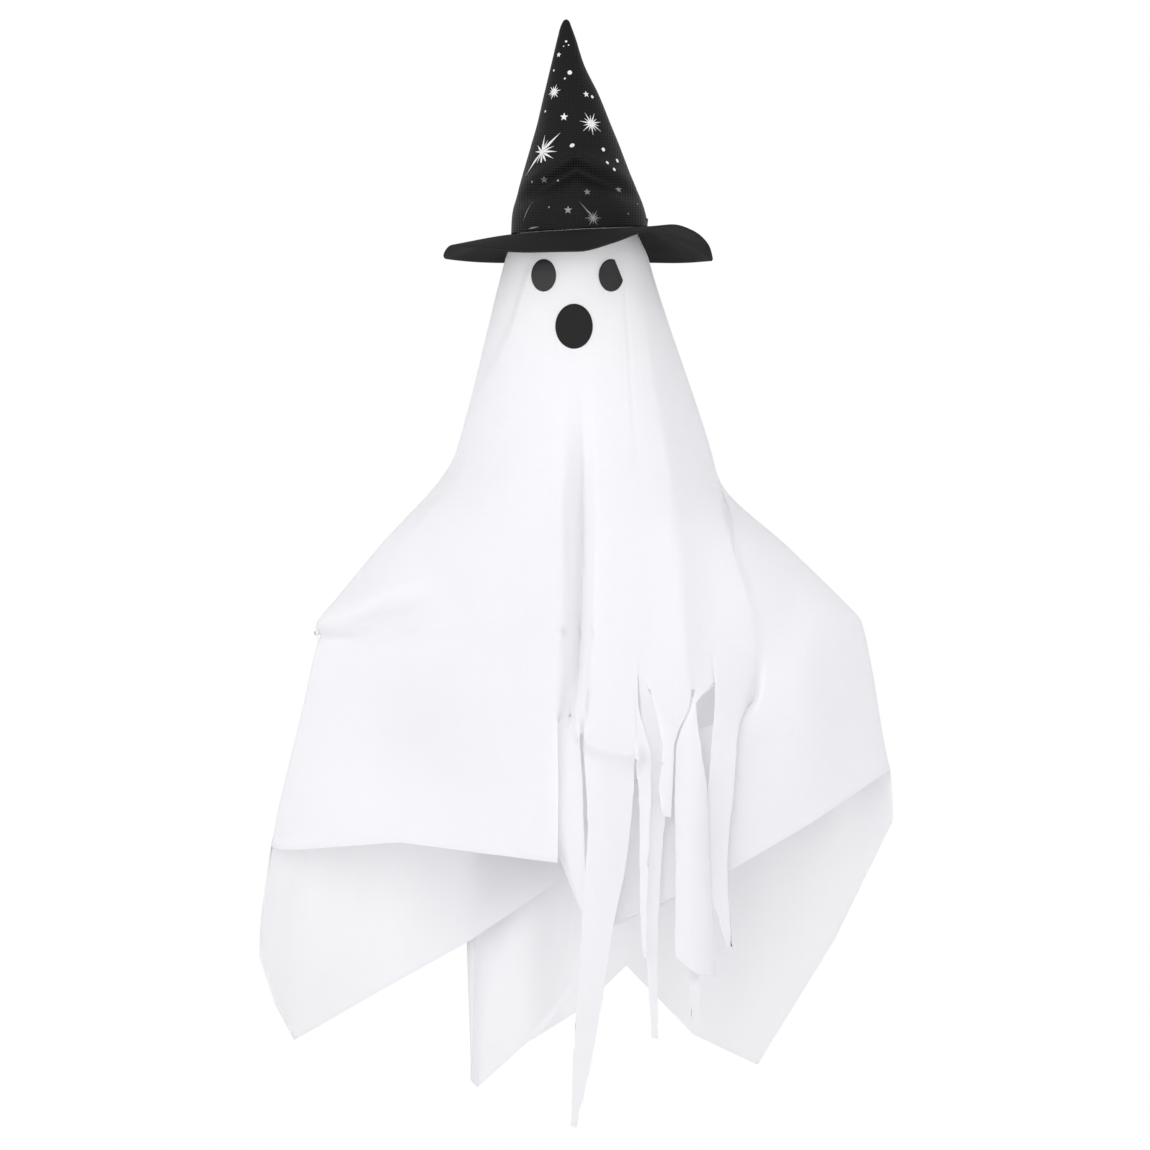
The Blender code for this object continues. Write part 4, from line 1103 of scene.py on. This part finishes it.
def hat_brim():
    hole = CONE_RADIUS - BRIM_UNDERLAP
    degrees = -180 + 360 * np.arange(BRIM_SIDES) / BRIM_SIDES
    falls = curve(BRIM_EDGE, degrees)
    points = []
    for k in range(BRIM_STEPS + 1):
        out = k / BRIM_STEPS
        radius = hole + (BRIM_RADIUS - hole) * out
        for angle, fall in zip(degrees, falls):
            turn = math.radians(angle)
            across = BRIM_ACROSS + radius * math.sin(turn)
            rest = base_drop(across * (1 - out)) + BRIM_GAP + BRIM_THICK / 2
            around_it = Vector((math.sin(turn), math.cos(turn), 0)) * RIPPLES_ROUND
            ripple = RIPPLE_DEPTH * out * noise.noise(around_it + Vector((0, 0, out * 2)))
            drop = rest + fall * out ** BRIM_BEND + ripple
            points.append(place(across, -radius * math.cos(turn), drop))
    faces = ring_faces(BRIM_STEPS + 1, BRIM_SIDES)
    made = add_mesh(
        "hat_brim_felt", points, faces, brim_finish("black hat felt", BRIM_BLACK)
    )
    # the second material, for the underside, is darker: painted shade
    made.data.materials.append(brim_finish("black brim underside, painted shade", UNDERSIDE_PAINTED_SHADE))
    return made


def brim_finish(name, black):
    felt = Finish(name)
    fibre = felt.grain(700.0, 5.0)
    lint = felt.grain(1800.0, 2.0).over(0.6, 0.12)
    shade = felt.blend(fibre, tuple(0.4 * v for v in black), black)
    shade = felt.blend(lint * 0.2, shade, tuple(3.5 * v for v in black))
    return felt.done(felt.solid(
        shade, 0.86 + fibre * 0.12, felt.bump(fibre + lint * 0.3, 0.0005), Specular_IOR_Level=0.2
    ))


brim = hat_brim()
# the brim's other side, its underside, takes the darker material: painted shade
thicken(brim, BRIM_THICK).material_offset = 1
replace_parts(brim, "hat_brim")


# The studio: a pale floor well below the ghost, a white room round it, one large soft lamp in
# front of the head and two weaker ones at the sides.

FLOOR_DROP = 1.32        # this section and the next are in metres
FLOOR_RADIUS = 2.4
FLOOR_PALE, FLOOR_WORN = (0.90, 0.90, 0.90), (0.86, 0.86, 0.87)


def floor_finish():
    pale = Finish("pale studio floor")
    worn = pale.grain(3.0, 4.0)
    shade = pale.blend(worn, FLOOR_WORN, FLOOR_PALE)
    return pale.done(pale.solid(shade, 0.85 + worn * 0.1))


body = bmesh.new()
bmesh.ops.create_circle(body, cap_ends=True, segments=96, radius=FLOOR_RADIUS)
floor_mesh = bpy.data.meshes.new("studio_floor")
body.to_mesh(floor_mesh)
body.free()
floor_mesh.materials.append(floor_finish())
floor = bpy.data.objects.new("studio_floor", floor_mesh)
bpy.context.scene.collection.objects.link(floor)
floor.location = (0, 0, -FLOOR_DROP)

ROOM_LIGHT = (0.54, 0.54, 0.55)
BACKDROP = (1.0, 1.0, 1.0)


def white_room():
    """Lights the ghost softly; the camera, and what mirrors or shows through, see plain white."""
    room = Finish("white room", bpy.data.worlds)
    seen = room.node("LightPath", output="Is Camera Ray")
    for other in ("Is Glossy Ray", "Is Transmission Ray"):
        seen = seen.maths("MAXIMUM", seen, room.node("LightPath", output=other))
    light = room.node("Background", {}, {"Color": ROOM_LIGHT})
    white = room.node("Background", {}, {"Color": BACKDROP})
    return room.done(room.node("MixShader", {}, {0: seen, 1: light, 2: white}), "OutputWorld")


bpy.context.scene.world = white_room()


GHOST_HEAD = (0.0, 0.0, -0.28)
# name, place, size, watts, colour, spread in degrees
LAMPS = [
    ("lamp in front", (-0.15, -1.2, -0.29), 1.2, 4.0, (1.0, 1.0, 0.995), 120.0),
    ("lamp left", (-1.0, -0.85, -0.34), 0.9, 1.9, (0.99, 0.99, 1.0), 110.0),
    ("lamp right", (1.0, -0.85, -0.34), 0.9, 1.4, (1.0, 1.0, 0.99), 110.0),
]
for name, at, size, watts, colour, spread in LAMPS:
    lamp = bpy.data.lights.new(name, "AREA")
    lamp.shape = "DISK"
    lamp.size = size
    lamp.energy = watts
    lamp.color = colour
    lamp.spread = math.radians(spread)
    made = bpy.data.objects.new(name, lamp)
    bpy.context.scene.collection.objects.link(made)
    made.location = at
    made.rotation_euler = (Vector(GHOST_HEAD) - Vector(at)).to_track_quat("-Z", "Y").to_euler()


# The camera stands far off, level with the middle of the ghost, as in the photograph.

FRAME_SIDE = 0.9499
CAMERA_ACROSS, CAMERA_AWAY, CAMERA_DROP = 0.0073, 10.0, 0.4593
SENSOR = 36.0            # millimetres
camera_data = bpy.data.cameras.new("camera")
camera_data.sensor_width = SENSOR
camera_data.lens = SENSOR * CAMERA_AWAY / FRAME_SIDE
camera_data.clip_end = 100.0
camera = bpy.data.objects.new("camera", camera_data)
bpy.context.scene.collection.objects.link(camera)
camera.location = (CAMERA_ACROSS, -CAMERA_AWAY, -CAMERA_DROP)
camera.rotation_euler = (math.radians(90), 0, 0)
bpy.context.scene.camera = camera
bpy.context.scene.view_settings.view_transform = "Standard"
